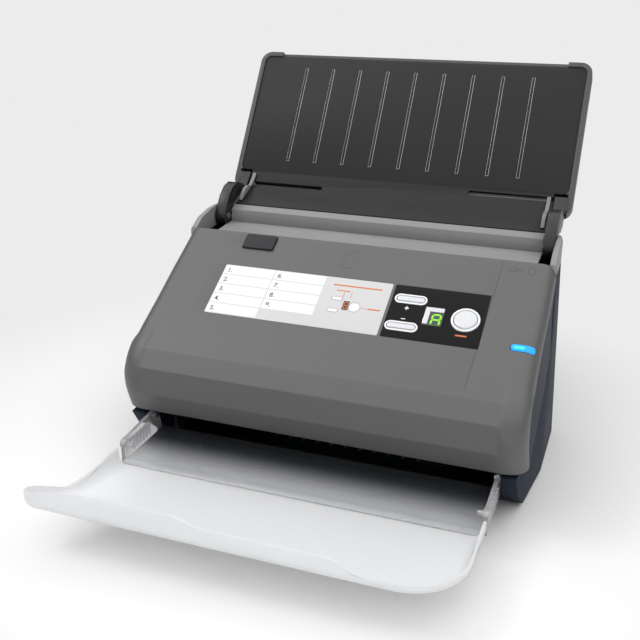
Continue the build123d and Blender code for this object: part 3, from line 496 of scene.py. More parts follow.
def circuit_board(name):
    """Green solder mask with tracks and pads."""
    if name in bpy.data.materials:
        return bpy.data.materials[name]
    material = finish_of(name, (0.02, 0.16, 0.07), 0.35, grain=0.000004)
    tree, shader, place = opened(material)
    tracks = wire(tree, "ShaderNodeTexBrick",
                  {"Scale": 160.0, "Mortar Size": 0.06, "Bias": -0.2,
                   "Color1": (0.018, 0.15, 0.06, 1), "Color2": (0.022, 0.19, 0.08, 1),
                   "Mortar": (0.05, 0.33, 0.14, 1)},
                  offset=0.37, squash=0.7)
    turn = wire(tree, "ShaderNodeMapping", {"Rotation": (math.radians(90), 0, 0)})
    connect(tree, (place, "Object", turn, "Vector"), (turn, "Vector", tracks, "Vector"),
            (tracks, "Color", shader, "Base Color"))
    return material


def paint_shade_towards_base(material):
    """Painted shade: dark towards the base, clear towards the front edge, standing in for the
    shadow and dark reflection the clear plate shows near the base.
    """
    tree, shader, place = opened(material)
    parts = tree.nodes.new("ShaderNodeSeparateXYZ")
    fade = fade_of(tree, -0.072, -0.11)
    # painted shade: dark at the base end, fading to the plate's clear colour at the front
    tint = blend_of(tree, (0.11, 0.117, 0.13), (0.95, 0.96, 0.98))
    connect(tree, (place, "Object", parts, "Vector"), (parts, "Y", fade, "Value"),
            (fade, "Result", tint, "Factor"), (tint, "Result", shader, "Base Color"))


# Key: name, colour, roughness, depth of the grain in metres, and what else the finish has.
PLAIN_FINISHES = {
    "dark": ("black plastic", (0.012, 0.012, 0.013), 0.38, 2e-5, {}),
    "liner": ("dark grey liner plastic", (0.0205, 0.0205, 0.0215), 0.55, 4e-5,
              {"grain_scale": 1100.0, "Specular_Ior_Level": 0.25}),
    "release": ("release button plastic", (0.026, 0.0245, 0.029), 0.5, 4e-5,
                {"Specular_Ior_Level": 0.22}),
    "label": ("label film", (0.58, 0.58, 0.58), 0.35, 5e-6, {"colour_shift": 0.01}),
    "cell": ("label white film", (0.78, 0.78, 0.785), 0.35, 5e-6, {"colour_shift": 0.01}),
    "ink": ("black ink", (0.02, 0.02, 0.02), 0.5, 3e-6, {}),
    "orange": ("orange ink", (0.62, 0.16, 0.04), 0.5, 3e-6, {}),
    "overlay": ("overlay film", (0.0095, 0.0092, 0.009), 0.42, 8e-6,
                {"colour_shift": 0.1, "Specular_Ior_Level": 0.09}),
    "silver": ("silver key coating", (0.56, 0.57, 0.6), 0.28, 4e-6,
               {"Metallic": 0.75, "Coat_Weight": 0.3}),
    "pearl": ("pearl button coating", (0.62, 0.63, 0.65), 0.3, 4e-6,
              {"Metallic": 0.35, "Coat_Weight": 0.4}),
    "ring": ("white ring plastic", (0.9, 0.9, 0.91), 0.3, 4e-6, {}),
    "window": ("display window", (0.01, 0.012, 0.01), 0.15, 2e-6, {"Coat_Weight": 0.6}),
    "unlit": ("unlit segment", (0.03, 0.09, 0.012), 0.4, 2e-5, {}),
    "rubber": ("rubber", (0.018, 0.018, 0.019), 0.75, 6e-5, {"grain_scale": 700.0}),
    "roller": ("roller rubber", (0.045, 0.048, 0.055), 0.7, 6e-5, {"grain_scale": 600.0}),
    "gear": ("white gear plastic", (0.68, 0.67, 0.62), 0.42, 2e-5, {}),
    "sensor": ("sensor housing", (0.012, 0.012, 0.012), 0.5, 2e-5, {}),
    "fence": ("paper guide plastic", (0.2, 0.2, 0.205), 0.42, 2e-5, {}),
    "glass": ("sensor glass", (0.05, 0.065, 0.065), 0.06, 1e-6, {"Coat_Weight": 1.0}),
}
# Key: name, colour, roughness, transmission and IOR.
CLEAR_FINISHES = {
    "frosted": ("frosted tray plastic", (0.97, 0.975, 0.985), 0.3, 0.5, 1.3),
    "arm": ("clear arm plastic", (0.95, 0.955, 0.965), 0.14, 0.8, 1.36),
    "plate": ("clear plate plastic", (0.9, 0.91, 0.93), 0.2, 0.7, 1.4),
}
# The rear top is the cover's plastic made lighter: painted light for its upward-facing top and
# ears.
REAR_PAINTED_LIGHT = 2.5


def finishes():
    colours = bpy.context.scene.scanner_colours
    cover = tuple(colours.cover)
    first_time = "clear plate plastic" not in bpy.data.materials
    made = {
        "cover": finish_of("cover grey plastic", cover, 0.46, 3e-5),
        # painted light: the cover's colour made lighter for the rear top
        "rear": finish_of("rear grey plastic", [REAR_PAINTED_LIGHT * c for c in cover], 0.5, 3e-5),
        "navy": finish_of("navy base plastic", tuple(colours.base), 0.5, 3e-5,
                          Specular_Ior_Level=0.04),
        "shell": finish_of("tray shell plastic", tuple(colours.tray), 0.48, 3e-5),
        # painted shade: the cover's colour darkened for the pressed-in marks
        "mark": finish_of("pressed mark", [c * 0.62 for c in cover], 0.5),
        "digit": lit("lit green segment", (0.22, 0.72, 0.03), 0.9),
        "blue": lit("blue light lens", (0.0, 0.33, 1.0), 1.0),
        "cyan": lit("bright blue light lens", (0.03, 0.68, 1.0), 1.0),
        "steel": brushed("turned steel", (0.6, 0.6, 0.62), 0.3),
        "board": circuit_board("circuit board"),
    }
    for key, (name, colour, rough, grain, others) in PLAIN_FINISHES.items():
        made[key] = finish_of(name, colour, rough, grain, **others)
    for key, (name, colour, rough, through, ior) in CLEAR_FINISHES.items():
        made[key] = finish_of(name, colour, rough, 4e-6, colour_shift=0.01, roughness_shift=0.03,
                              IOR=ior, Transmission_Weight=through)
    # the clear plate gets its painted shade towards the base once
    if first_time:
        paint_shade_towards_base(made["plate"])
    return made


# Front cover

def parting_line(y):
    return 44.0 + max(y + 68.0, 0.0) * (88.0 - 44.0) / (37.2 + 68.0)


def cover_lines():
    """The facets' line and the cheeks' line of the cover, point for point."""
    corners = [on_slope(0), on_slope(SLOPE_LENGTH), (-85.0, 82.3), (-86.5, 62.0), (-79.0, 44.0)]
    facet = []
    crease = 0.55
    for i, steps in enumerate((26, 5, 6, 6)):
        a = Vector(corners[i])
        b = Vector(corners[i + 1])
        span = (b - a).length
        start = crease if i > 0 else 0.0
        end = span - crease if i < 3 else span
        near = start + (0.3 if i > 0 else 0.0)
        far = end - (0.3 if i < 3 else 0.0)
        stops = [near + (far - near) * k / steps for k in range(steps + 1)]
        if i > 0:
            stops = [start] + stops
        if i < 3:
            stops.append(end)
        facet += [a.lerp(b, stop / span) for stop in stops]
    leave = 100.0
    bow = curve_through([on_slope(leave), on_slope(112.0, 0.25), (-71.0, 96.8), (-80.9, 87.6),
                         (-86.3, 77.8), (-87.3, 71.5), (-86.3, 63.5), (-83.2, 54.0), (-79.0, 44.0)])
    run = lengths(facet)
    cheek = []
    for point, gone in zip(facet, run):
        if gone <= leave:
            cheek.append(point)
        else:
            cheek.append(point_at(bow, (gone - leave) / (run[-1] - leave)))
    return facet, cheek, run


def cover_surface(name):
    sizes = bpy.context.scene.scanner_sizes
    top_round = sizes.side_round / MM
    nose_round = sizes.nose_round / MM
    facet, cheek, run = cover_lines()
    inward = Vector((SLOPE.col[2][1], SLOPE.col[2][2])) * -1
    rows = []
    for i, (flat, bowed) in enumerate(zip(facet, cheek)):
        share = ease(run[i], 100.0, 134.0)
        radius = top_round + (nose_round - top_round) * share
        heading = inward.lerp(Vector((1, 0)), share).normalized()
        half = []
        for x in (0, 24, 48, 72, 96, 118, 131, 134.8, 135.4, 136.1, 136.8, 137.5, 138.2, 138.8):
            mixed = flat.lerp(bowed, ease(x, 135.0, 138.8))
            half.append((x, mixed))
        wide = HALF_WIDTH - lean(*bowed)
        for k in range(10):
            turn = math.radians(90 * k / 9)
            half.append((wide - radius + radius * math.sin(turn),
                         bowed + heading * radius * (1 - math.cos(turn))))
        last = Vector(half[-1][1])
        foot = facet[-1][0] + nose_round
        goal_y = SLOPE_TOP[0] + (foot - SLOPE_TOP[0]) * run[i] / run[-1]
        goal = Vector((goal_y, parting_line(goal_y)))
        down = goal - last
        share = min(down.length / 6.0, 1.0)
        for gone, deep in ((0.45, 0.4), (0.8, 0.4), (1.25, 0.0)):
            half.append((wide - deep * share, last + down * (gone / max(down.length, 6.0))))
        for k in range(2, 6):
            mixed = last.lerp(goal, k / 5)
            half.append((HALF_WIDTH - lean(*mixed), mixed))
        row = [(x, p[0], max(p[1], parting_line(p[0]))) for x, p in half]
        rows.append([(-x, y, z) for x, y, z in reversed(row[1:])] + row)
    skin = grid_piece(name, rows)
    strips = len(rows[0]) - 1
    for face in skin.data.polygons:
        strip = min(face.index % strips, strips - 1 - face.index % strips)
        face.material_index = 1 if strip < 4 else 2 if strip < 7 else 0
    return skin


# Places on the slope: x, distance down from its top, width and height.
KEYS = {"plus": (53.2, 49.5, 24.4, 8.2), "minus": (52.0, 75.5, 24.4, 8.2)}
SCAN = (96.9, 62.4)
SCAN_HOLE = rounded(SCAN[0], -SCAN[1], 21.6, 21.6, 10.79, 12)
WINDOW = (73.5, 63.0, 14.6, 17.0)
LABEL = (-33.6, 61.5, 140.2, 50.1)
OVERLAY = (74.8, 61.5, 72.0, 50.1)
RELEASE = (-84.1, 9.6, 26.8, 15.2)
LAMP = (140.0, 80.4, 15.2, 5.6)


def slope_outline(place, grow, radius):
    return rounded(place[0], -place[1], place[2] + 2 * grow, place[3] + 2 * grow, radius)


class SCANNER_OT_cover(bpy.types.Operator):
    """Front cover: a thin moulded shell with its facets, cheeks, openings and seam"""
    bl_idname = "scanner.cover"
    bl_label = "Front Cover"

    def execute(self, context):
        look = finishes()
        skin = cover_surface("cover_skin")
        for key in ("cover", "navy", "dark"):
            skin.data.materials.append(look[key])
        close_up(skin)
        widest = max(skin.data.polygons, key=lambda face: face.area)
        if widest.normal.dot(SLOPE.col[2].xyz) < 0:
            skin.data.flip_normals()
        thicken(skin, 2.4)
        openings = ((LABEL, 0.6, 0.1, 1.0), (OVERLAY, 0.6, 0.1, 1.0), (RELEASE, 6.0, 0.35, 1.6),
                    (WINDOW, 6.0, 0.2, 0.6), (KEYS["plus"], 6.0, 0.4, 4.4),
                    (KEYS["minus"], 6.0, 0.4, 4.4), (LAMP, 6.0, 0.3, 2.8))
        for place, depth, grow, radius in openings:
            punch(skin, slope_outline(place, grow, radius), -depth, 6.0)
        punch(skin, SCAN_HOLE, -6.0, 6.0)
        seam = [(113.25, -2.3), (113.5, -2.3), (108.9, -123.5), (108.65, -123.5)]
        punch(skin, seam, -0.35, 3.0)
        round_edges(skin, 0.35, 2, 50.0)
        smooth(skin, 30.0)
        post = [(0.0, -2.3), (2.8, -2.3), (2.6, -8.0), (1.0, -8.0), (1.0, -4.6), (0.0, -4.6)]
        posts = [turned("post", post, shifted(SLOPE, x, -down), 24)
                 for x in (42.0, 106.0) for down in (40.0, 84.0)]
        shell = joined("cover_shell", [skin] + posts)
        smooth(shell, 30.0)
        hand_over(shell, "cover", None, ("front_cover",))
        self.marks(look)
        return {"FINISHED"}

    def marks(self, look):
        """Faint pressed-in marks near the upper edge: a sheet and two plain outlines, drawn as thin
        rings in the cover's colour darkened as painted shade.
        """
        marks = []
        sheet = [(-10.5, -26.0), (-1.0, -26.0), (2.2, -7.5), (-3.2, -7.5), (-9.2, -13.5)]
        rings = [sheet, rounded(121.0, -9.0, 6.2, 4.2, 2.0), rounded(126.4, -9.0, 4.2, 4.2, 2.05),
                 rounded(135.4, -9.0, 5.6, 7.8, 2.2)]
        for outline in rings:
            count = len(outline)
            centre = sum((Vector(p) for p in outline), Vector((0, 0))) / count
            inner = [Vector(p).lerp(centre, 0.6 / max((Vector(p) - centre).length, 1.0))
                     for p in outline]
            points = []
            for height in (0.0, 0.045):
                points += [(p[0], p[1], height) for p in outline]
                points += [(p[0], p[1], height) for p in inner]
            faces = []
            low, low_in, high, high_in = (count * k for k in range(4))
            for i in range(count):
                n = (i + 1) % count
                faces += [(high + i, high + n, high_in + n, high_in + i),
                          (low + i, low + n, high + n, high + i),
                          (low_in + n, low_in + i, high_in + i, high_in + n),
                          (low + n, low + i, low_in + i, low_in + n)]
            marks.append(close_up(piece_from("mark", points, faces, SLOPE), 0.001))
        hand_over(joined("cover_marks", marks), "cover", look["mark"])


# Controls on the cover

def number_piece(words, x, down, height, out):
    """Plain figures as a thin raised print on the slope."""
    curve = bpy.data.curves.new("figures", "FONT")
    curve.body = words
    curve.size = height * MM
    curve.extrude = 0.02 * MM
    curve.offset = 0.06 * MM
    holder = new_piece("figures", curve)
    graph = bpy.context.evaluated_depsgraph_get()
    mesh = bpy.data.meshes.new_from_object(holder.evaluated_get(graph))
    bpy.data.objects.remove(holder)
    mesh.transform(shifted(SLOPE, x, -down, out))
    return new_piece("figures", mesh)


def slope_bar(x0, x1, down0, down1, low, high, rim=0.0, radius=0.2):
    outline = rounded((x0 + x1) / 2, -(down0 + down1) / 2, x1 - x0, down1 - down0, radius, 3)
    return solid("bar", outline, low, high, SLOPE, rim)


class SCANNER_OT_label(bpy.types.Operator):
    """Function label: a film with two columns of numbered cells and a plain key diagram"""
    bl_idname = "scanner.label"
    bl_label = "Function Label"

    def execute(self, context):
        look = finishes()
        film = solid("label_film", slope_outline(LABEL, 0.0, 1.0), -0.58, 0.02, SLOPE, 0.05)
        hand_over(smooth(film), "cover", look["label"], ("function_label",))
        row = 9.9
        top = 37.0
        cells = []
        figures = []
        for i in range(9):
            x0 = -103.2 + i // 5 * 43.4
            down = top + i % 5 * row
            cells.append(slope_bar(x0, x0 + 42.5, down, down + row - 0.85, 0.0, 0.06, 0.0, 0.3))
            figures.append(number_piece(f"{i + 1}.", x0 + 2.6, down + 6.9, 6.0, 0.07))
        lines = [(-9.6, 29.4, 43.2, 44.5, 0.2), (-5.4, 5.4, 48.6, 49.5, 0.2),
                 (1.0, 1.4, 50.2, 58.2, 0.15), (7.0, 7.4, 49.0, 55.6, 0.15),
                 (17.4, 22.4, 63.4, 63.8, 0.15), (23.0, 33.0, 63.0, 64.3, 0.2)]
        lines = [slope_bar(*line[:4], 0.01, 0.07, 0, line[4]) for line in lines]
        outlines = self.key_shapes(4.6, 1.9, 9.4, 0.01, 0.07)
        inner = self.key_shapes(4.2, 1.5, 8.6, 0.02, 0.09)
        window = [slope_bar(3.2, 8.0, 58.6, 67.2, 0.01, 0.08, 0, 0.3)]
        tiny = segments_of("8", 5.6, -62.9, 3.0, 6.0, 0.7, 0.08, 0.12, SLOPE)[0]
        prints = (("cells", cells, "cell"), ("figures", figures, "ink"), ("lines", lines, "orange"),
                  ("key_outlines", outlines, "fence"), ("key_faces", inner, "cell"),
                  ("window", window, "ink"), ("window_figure", tiny, "orange"))
        for name, parts, key in prints:
            hand_over(joined("label_" + name, parts), "cover", look[key])
        return {"FINISHED"}

    def key_shapes(self, reach, rise, button, low, high):
        """The two keys and the round button of the diagram."""
        shapes = [slope_bar(x - reach, x + reach, down - rise, down + rise, low, high, 0,
                            rise - 0.05) for x, down in ((-3.0, 57.0), (-3.4, 68.6))]
        dot = rounded(12.6, -63.6, button, button, button / 2 - 0.01, 8)
        return shapes + [solid("dot", dot, low, high, SLOPE)]


def segments_of(character, x, y, width, height, bar, low, high, frame_of, slant=0.0):
    """Seven segments about (x, y): the lit ones and the unlit ones."""
    half = height / 2
    places = {"a": (0, half, True), "g": (0, 0, True), "d": (0, -half, True),
              "f": (-width / 2, half / 2, False), "b": (width / 2, half / 2, False),
              "e": (-width / 2, -half / 2, False), "c": (width / 2, -half / 2, False)}
    shown = {"8": "abcdefg", "A": "abcefg"}[character]
    on = []
    off = []
    for key, (dx, dy, flat) in places.items():
        reach = (width if flat else half) / 2 - bar * 0.12
        end = reach - bar / 2
        shape = [(-reach, 0), (-end, bar / 2), (end, bar / 2), (reach, 0), (end, -bar / 2),
                 (-end, -bar / 2)]
        if not flat:
            shape = [(-b, a) for a, b in shape]
        outline = [(x + dx + a + (dy + b) * slant, y + dy + b) for a, b in shape]
        piece = solid("segment", outline, low, high, frame_of)
        (on if key in shown else off).append(piece)
    return on, off


class SCANNER_OT_controls(bpy.types.Operator):
    """Control overlay, keys, scan button, display and status light"""
    bl_idname = "scanner.controls"
    bl_label = "Controls"

    def execute(self, context):
        look = finishes()
        film = solid("overlay_film", slope_outline(OVERLAY, 0.0, 1.0), -0.58, 0.18, SLOPE, 0.12)
        for place, radius in ((KEYS["plus"], 4.4), (KEYS["minus"], 4.4), (WINDOW, 0.6)):
            punch(film, slope_outline(place, 0.4, radius), -2.0, 2.0)
        punch(film, SCAN_HOLE, -2.0, 2.0)
        hand_over(smooth(film), "cover", look["overlay"], ("control_overlay",))
        self.keys(look)
        self.scan(look)
        self.display(look)
        self.release(look)
        self.lamp(look)
        return {"FINISHED"}

    def keys(self, look):
        for name, place in KEYS.items():
            x, down, width, height = place
            outline = rounded(x, -down, width + 0.4, height + 0.4, 4.29, 9)
            rim = solid(name + "_key_rim", outline, -1.2, 0.75, SLOPE, 0.35)
            punch(rim, rounded(x, -down, width - 2.0, height - 2.0, 3.09, 9), -3.0, 3.0)
            hand_over(smooth(rim), "cover", look["ring"])
            cap = self.pillow(name + "_key_cap", x, -down, width - 2.5, height - 2.5, -2.6, 1.5)
            stem = solid("stem", rounded(x, -down, 8.0, 4.0, 0.6), -4.3, -2.5, SLOPE)
            cap = smooth(joined(name + "_key_cap", [cap, stem]), 40)
            node = name + "_button"
            hand_over(cap, node, look["silver"], (node,))
        plus = [(50.4, 53.6, 57.6, 58.4), (51.6, 52.4, 56.4, 59.6)]
        for name, bars in (("plus_sign", plus), ("minus_sign", [(50.2, 53.4, 67.9, 68.7)])):
            sign = joined(name, [slope_bar(*bar, 0.15, 0.24) for bar in bars])
            hand_over(sign, "cover", look["ring"])

    def pillow(self, name, x, y, width, height, low, top):
        """A capsule cap with a crowned face."""
        rows = []
        for inset, z in ((0.0, low), (0.0, top - 1.2), (0.12, top - 0.8), (0.45, top - 0.45),
                         (1.0, top - 0.18), (1.8, top - 0.04), (2.6, top)):
            outline = rounded(x, y, width - 2 * inset, height - 2 * inset,
                              (height - 2 * inset) / 2 - 0.01, 9)
            rows.append([(px, py, z) for px, py in outline])
        count = len(rows[0])
        points = [p for row in rows for p in row]
        faces = strips(rows, wrap=True)
        faces.append(tuple(reversed(range(count))))
        faces.append(tuple(range(len(points) - count, len(points))))
        return close_up(piece_from(name, points, faces, SLOPE), 0.001)

    def scan(self, look):
        at = shifted(SLOPE, SCAN[0], -SCAN[1])
        ring = turned("scan_ring_moulding", [(9.0, -2.5), (10.65, -2.5), (10.65, 0.6), (10.5, 1.0),
                                             (10.1, 1.25), (9.6, 1.25), (9.15, 1.0), (9.0, 0.6),
                                             (9.0, -2.5)], at, 64)
        hand_over(smooth(ring), "cover", look["ring"], ("scan_ring",))
        dome = [(0.0, -4.4), (3.0, -4.4), (3.0, -2.6), (8.55, -2.6), (8.6, 0.5), (8.45, 1.1),
                (8.0, 1.55), (7.2, 1.8), (6.4, 1.85), (5.0, 2.05), (3.4, 2.2), (1.7, 2.28),
                (0.0, 2.3)]
        button = turned("scan_button_cap", dome, at, 64)
        hand_over(smooth(button, 40), "scan_button", look["pearl"],
                  ("scan_button",))
        mark = joined("scan_mark", [slope_bar(92.4, 100.6, 76.3, 77.6, 0.15, 0.23)])
        hand_over(mark, "cover", look["orange"])

    def display(self, look):
        x, down, width, height = WINDOW
        window = solid("display_window", slope_outline(WINDOW, -0.15, 0.6), -8.0, 0.2, SLOPE, 0.12)
        hand_over(smooth(window), "cover", look["window"], ("digit_display",))
        left = x - width / 2
        top = -down + height / 2
        edge = 4.0
        right = left + width - 0.4
        foot = top - height + 1.2
        corner = [(left, top), (left, foot), (left + edge, foot), (left + edge, top - edge),
                  (right, top - edge), (right, top)]
        angle = solid("display_frame_moulding", list(reversed(corner)), 0.16, 0.72, SLOPE, 0.4, 3)
        hand_over(smooth(angle), "cover", look["silver"], ("display_frame",))
        on, off = segments_of("A", 75.7, -65.6, 6.0, 9.4, 1.5, 0.18, 0.3, SLOPE, 0.04)
        hand_over(joined("lit_segments", on), "cover", look["digit"])
        hand_over(joined("unlit_segments", off), "cover", look["unlit"])

    def release(self, look):
        x, down, width, height = RELEASE
        cap = solid("cap", rounded(x, -down, width, height, 1.5), -2.6, 1.7, SLOPE, 0.8, 3)
        stem = solid("stem", rounded(x, -14.5, 8.0, 4.0, 0.5), -6.0, -2.5, SLOPE)
        piece = smooth(joined("release_button_cap", [cap, stem]))
        hand_over(piece, "release_button", look["release"], ("release_button",))

    def lamp(self, look):
        """The status light follows the cover over its side rounding."""
        radius = bpy.context.scene.scanner_sizes.side_round / MM
        rows = []
        for k in range(9):
            turn = math.pi * k / 8
            down = LAMP[1] - 2.9 * math.cos(turn)
            start = 132.6 + 2.9 * (1 - math.sin(turn))
            end = 149.6 - 1.6 * (1 - math.sin(turn))
            row = []
            for j in range(21):
                x = start + (end - start) * j / 20
                wide = HALF_WIDTH - lean(*on_slope(down))
                over = min(max(x - (wide - radius), 0.0), radius)
                drop = radius - math.sqrt(radius ** 2 - over ** 2)
                y, z = on_slope(down, 0.12 + 0.5 * math.sin(turn) ** 0.5 - drop)
                row.append((x, y, z))
            rows.append(row)
        cap = thicken(close_up(grid_piece("status_lens", rows)), 1.6)
        hand_over(smooth(cap, 60), "cover", look["blue"], ("light_bar",))
        outline = rounded(138.4, -LAMP[1], 8.0, 2.6, 1.29, 8)
        core = solid("status_lens_core", outline, 0.4, 0.78, SLOPE, 0.25, 3)
        hand_over(smooth(core, 60), "cover", look["cyan"])


# Base, rear top and their details

class SCANNER_OT_base(bpy.types.Operator):
    """Base housing with rounded edges, vents, socket surrounds and feet"""
    bl_idname = "scanner.base"
    bl_label = "Base Housing"

    def execute(self, context):
        look = finishes()
        shell = moulded_copy("base_housing", 0.7, "base_shell")
        rear = shifted(UPRIGHT, -62.0, 93.0, 88.0) @ Matrix.Rotation(math.radians(90), 4, "X")
        vents = bar_grid("vent_cutters", 1, 9, (0, 56.0), (44.0, 2.4, 8.0), look["navy"], rear, 0.9)
        cut(shell, vents)
        lean_in(smooth(shell))
        hand_over(shell, "base", look["navy"], ("base_housing",))
        plate = moulded_copy("base_plate", 0.4, angle=38)
        hand_over(plate, "base", look["dark"], ("base_plate",))
        sole = [(0.0, 3.0), (7.9, 3.0), (8.0, 0.7), (7.5, 0.1), (6.6, 0.0), (5.4, 0.35),
                (0.0, 0.35)]
        feet = [turned("foot", sole, shifted(UPRIGHT, x, y), 40)
                for x in (-124, 124) for y in (-30, 76)]
        hand_over(smooth(joined("rubber_feet_moulding", feet), 40), "base",
                  look["rubber"], ("rubber_feet",))
        self.screws(look)
        return {"FINISHED"}

    def screws(self, look):
        profile = [(0.0, 10.0), (1.4, 9.4), (1.45, 0.0), (3.1, 0.0), (3.1, -0.6), (2.4, -1.15),
                   (0.0, -1.2)]
        slot = rounded(0, 0, 3.4, 0.8, 0.2)
        heads = []
        for x, y in ((147.6, -22.0), (150.5, 60.0)):
            for side in (-1, 1):
                at = shifted(UPRIGHT, side * x, y, 3.0)
                head = turned("screw", profile, at, 28)
                for turn in (0, 90):
                    punch(head, slot, -2.0, -0.5, at @ Matrix.Rotation(math.radians(turn), 4, "Z"))
                heads.append(head)
        hand_over(smooth(joined("case_screws_turned", heads)), "base", look["steel"],
                  ("case_screws",))


class SCANNER_OT_rear_top(bpy.types.Operator):
    """Grey rear top with its two ears and the throat's upper lip"""
    bl_idname = "scanner.rear_top"
    bl_label = "Rear Top"

    def execute(self, context):
        look = finishes()
        top = lean_in(moulded_copy("rear_housing", 0.8, "rear_top_moulding"))
        hand_over(top, "base", look["rear"], ("rear_housing",))
        pins = lean_in(moulded_copy("tray_hinge_pins", 0.0))
        hand_over(pins, "base", look["steel"], ("tray_hinge_pins",))
        return {"FINISHED"}


# Input tray

class SCANNER_OT_input_tray(bpy.types.Operator):
    """Folding input tray: back shell, dark arms, liner with its chute and ribs"""
    bl_idname = "scanner.input_tray"
    bl_label = "Input Tray"

    def execute(self, context):
        look = finishes()
        shell = moulded_copy("tray_shell", 0.8)
        shell.data.materials.append(look["shell"])
        shell.data.materials.append(look["dark"])
        to_tray = TRAY.inverted()
        for face in shell.data.polygons:
            spot = to_tray @ face.center
            if spot.y < 52.5 * MM and abs(face.center.x) < 147.9 * MM:
                face.material_index = 1
        hand_over(shell, "input_tray", None, ("tray_shell",))
        liner = moulded_copy("tray_liner", 0.5)
        hand_over(liner, "input_tray", look["liner"], ("tray_liner",))
        ribs = bar_grid("tray_ribs", 9, 1, (208.0, 0), (2.6, 92.0, 0.4), look["liner"],
                        shifted(TRAY, 0, 112.0, 0.0), 0.19)
        hand_over(ribs, "input_tray")
        return {"FINISHED"}


class SCANNER_OT_guides(bpy.types.Operator):
    """Sliding paper guides with their bright edges"""
    bl_idname = "scanner.guides"
    bl_label = "Paper Guides"

    def execute(self, context):
        look = finishes()
        for side in ("right", "left"):
            node = side + "_paper_guide"
            guide = moulded_copy(node, 0.35, side + "_guide_moulding")
            hand_over(guide, node, look["fence"], (node,))
        return {"FINISHED"}


# Output tray

PANEL_HALF = 138.5
PANEL_REAR = -122.0
PANEL_FRONT = -208.3
PANEL_CORNER = 40.0
PANEL_WALL = 2.3
PANEL_BEND = 9.0
WING_START = -166.0
WING_REACH = 19.0
LINK_HALF = 138.0
LINK_PIVOT = (-68.0, 35.0)
LINK_ROUND = 4.4
KNUCKLE = (-112.0, 32.0)
KNUCKLE_ROUND = 4.0
# Local x runs along Y, local y along Z and local z along X.
SIDE_VIEW = Matrix(((0, 0, 1, 0), (1, 0, 0, 0), (0, 1, 0, 0), (0, 0, 0, 1)))


def panel_face(y):
    return 20.0 + (PANEL_REAR - y) / (PANEL_REAR - PANEL_FRONT) * 10.0


def lip_height(x, y):
    """Height of the panel's rim: low at the sides, higher along the front's left and middle."""
    front = 50.0 - 5.0 * ease(x, -44.0, -22.0) - 14.4 * ease(x, 58.0, 94.0)
    front -= 7.6 * (1 - ease(x, -160.0, -104.0))
    side = 33.2 - 2.2 * ease(-y, 122.0, 178.0)
    return side + (front - side) * ease(-y, 172.0, 205.0)


def hermite(a, b, leave, arrive, steps):
    """Points after a, up to b, on a curve with the given end headings."""
    a, b, leave, arrive = (Vector(v) for v in (a, b, leave, arrive))
    line = []
    for k in range(1, steps + 1):
        t = k / steps
        line.append(a * (2 * t ** 3 - 3 * t ** 2 + 1) + leave * (t ** 3 - 2 * t ** 2 + t)
                    + b * (3 * t ** 2 - 2 * t ** 3) + arrive * (t ** 3 - t ** 2))
    return [tuple(p) for p in line]


def arc(x, y, radius, start, end, steps):
    line = []
    for k in range(1, steps + 1):
        a = math.radians(start + (end - start) * k / steps)
        line.append((x + radius * math.cos(a), y + radius * math.sin(a)))
    return line


def round_about(middle, radius, *degrees):
    """Points of an arc about a middle, at each step of a range in degrees."""
    turns = [math.radians(a) for a in range(*degrees)]
    return [(middle[0] + radius * math.cos(t), middle[1] + radius * math.sin(t)) for t in turns]


def drill(piece, x, y, z, radius, steps):
    """Cuts a round hole along X through a piece."""
    pin = [(0.0, -9.0), (radius, -9.0), (radius, 9.0), (0.0, 9.0)]
    return cut(piece, turned("hole", pin, shifted(SIDE_VIEW, y, z, x), steps))


def panel_outline(inset):
    """Plan line of the panel from its left rear corner, past the wing and round the front."""
    side = PANEL_HALF - inset
    tip = PANEL_HALF + WING_REACH - inset
    far = PANEL_FRONT + inset
    corner = PANEL_CORNER - inset
    nose = 7.0 * (1 - inset / 13.0)
    line = [(-side, PANEL_REAR + (WING_START - PANEL_REAR) * k / 10) for k in range(11)]
    middle = (-side - 4.0, WING_START - 17.0)
    line += hermite(line[-1], middle, (0, -18.0), (-9.0, -15.5), 8)
    line += hermite(middle, (-tip, far + nose), (-11.5, -19.5), (-8.0, -21.0), 10)
    line += arc(-tip + nose, far + nose, nose, 180, 270, 8)
    wide = side - corner + tip - nose
    line += [(-tip + nose + wide * k / 44, far) for k in range(1, 45)]
    line += arc(side - corner, far + corner, corner, 270, 360, 18)
    line += [(side, far + corner + (PANEL_REAR - far - corner) * k / 9) for k in range(1, 10)]
    return line


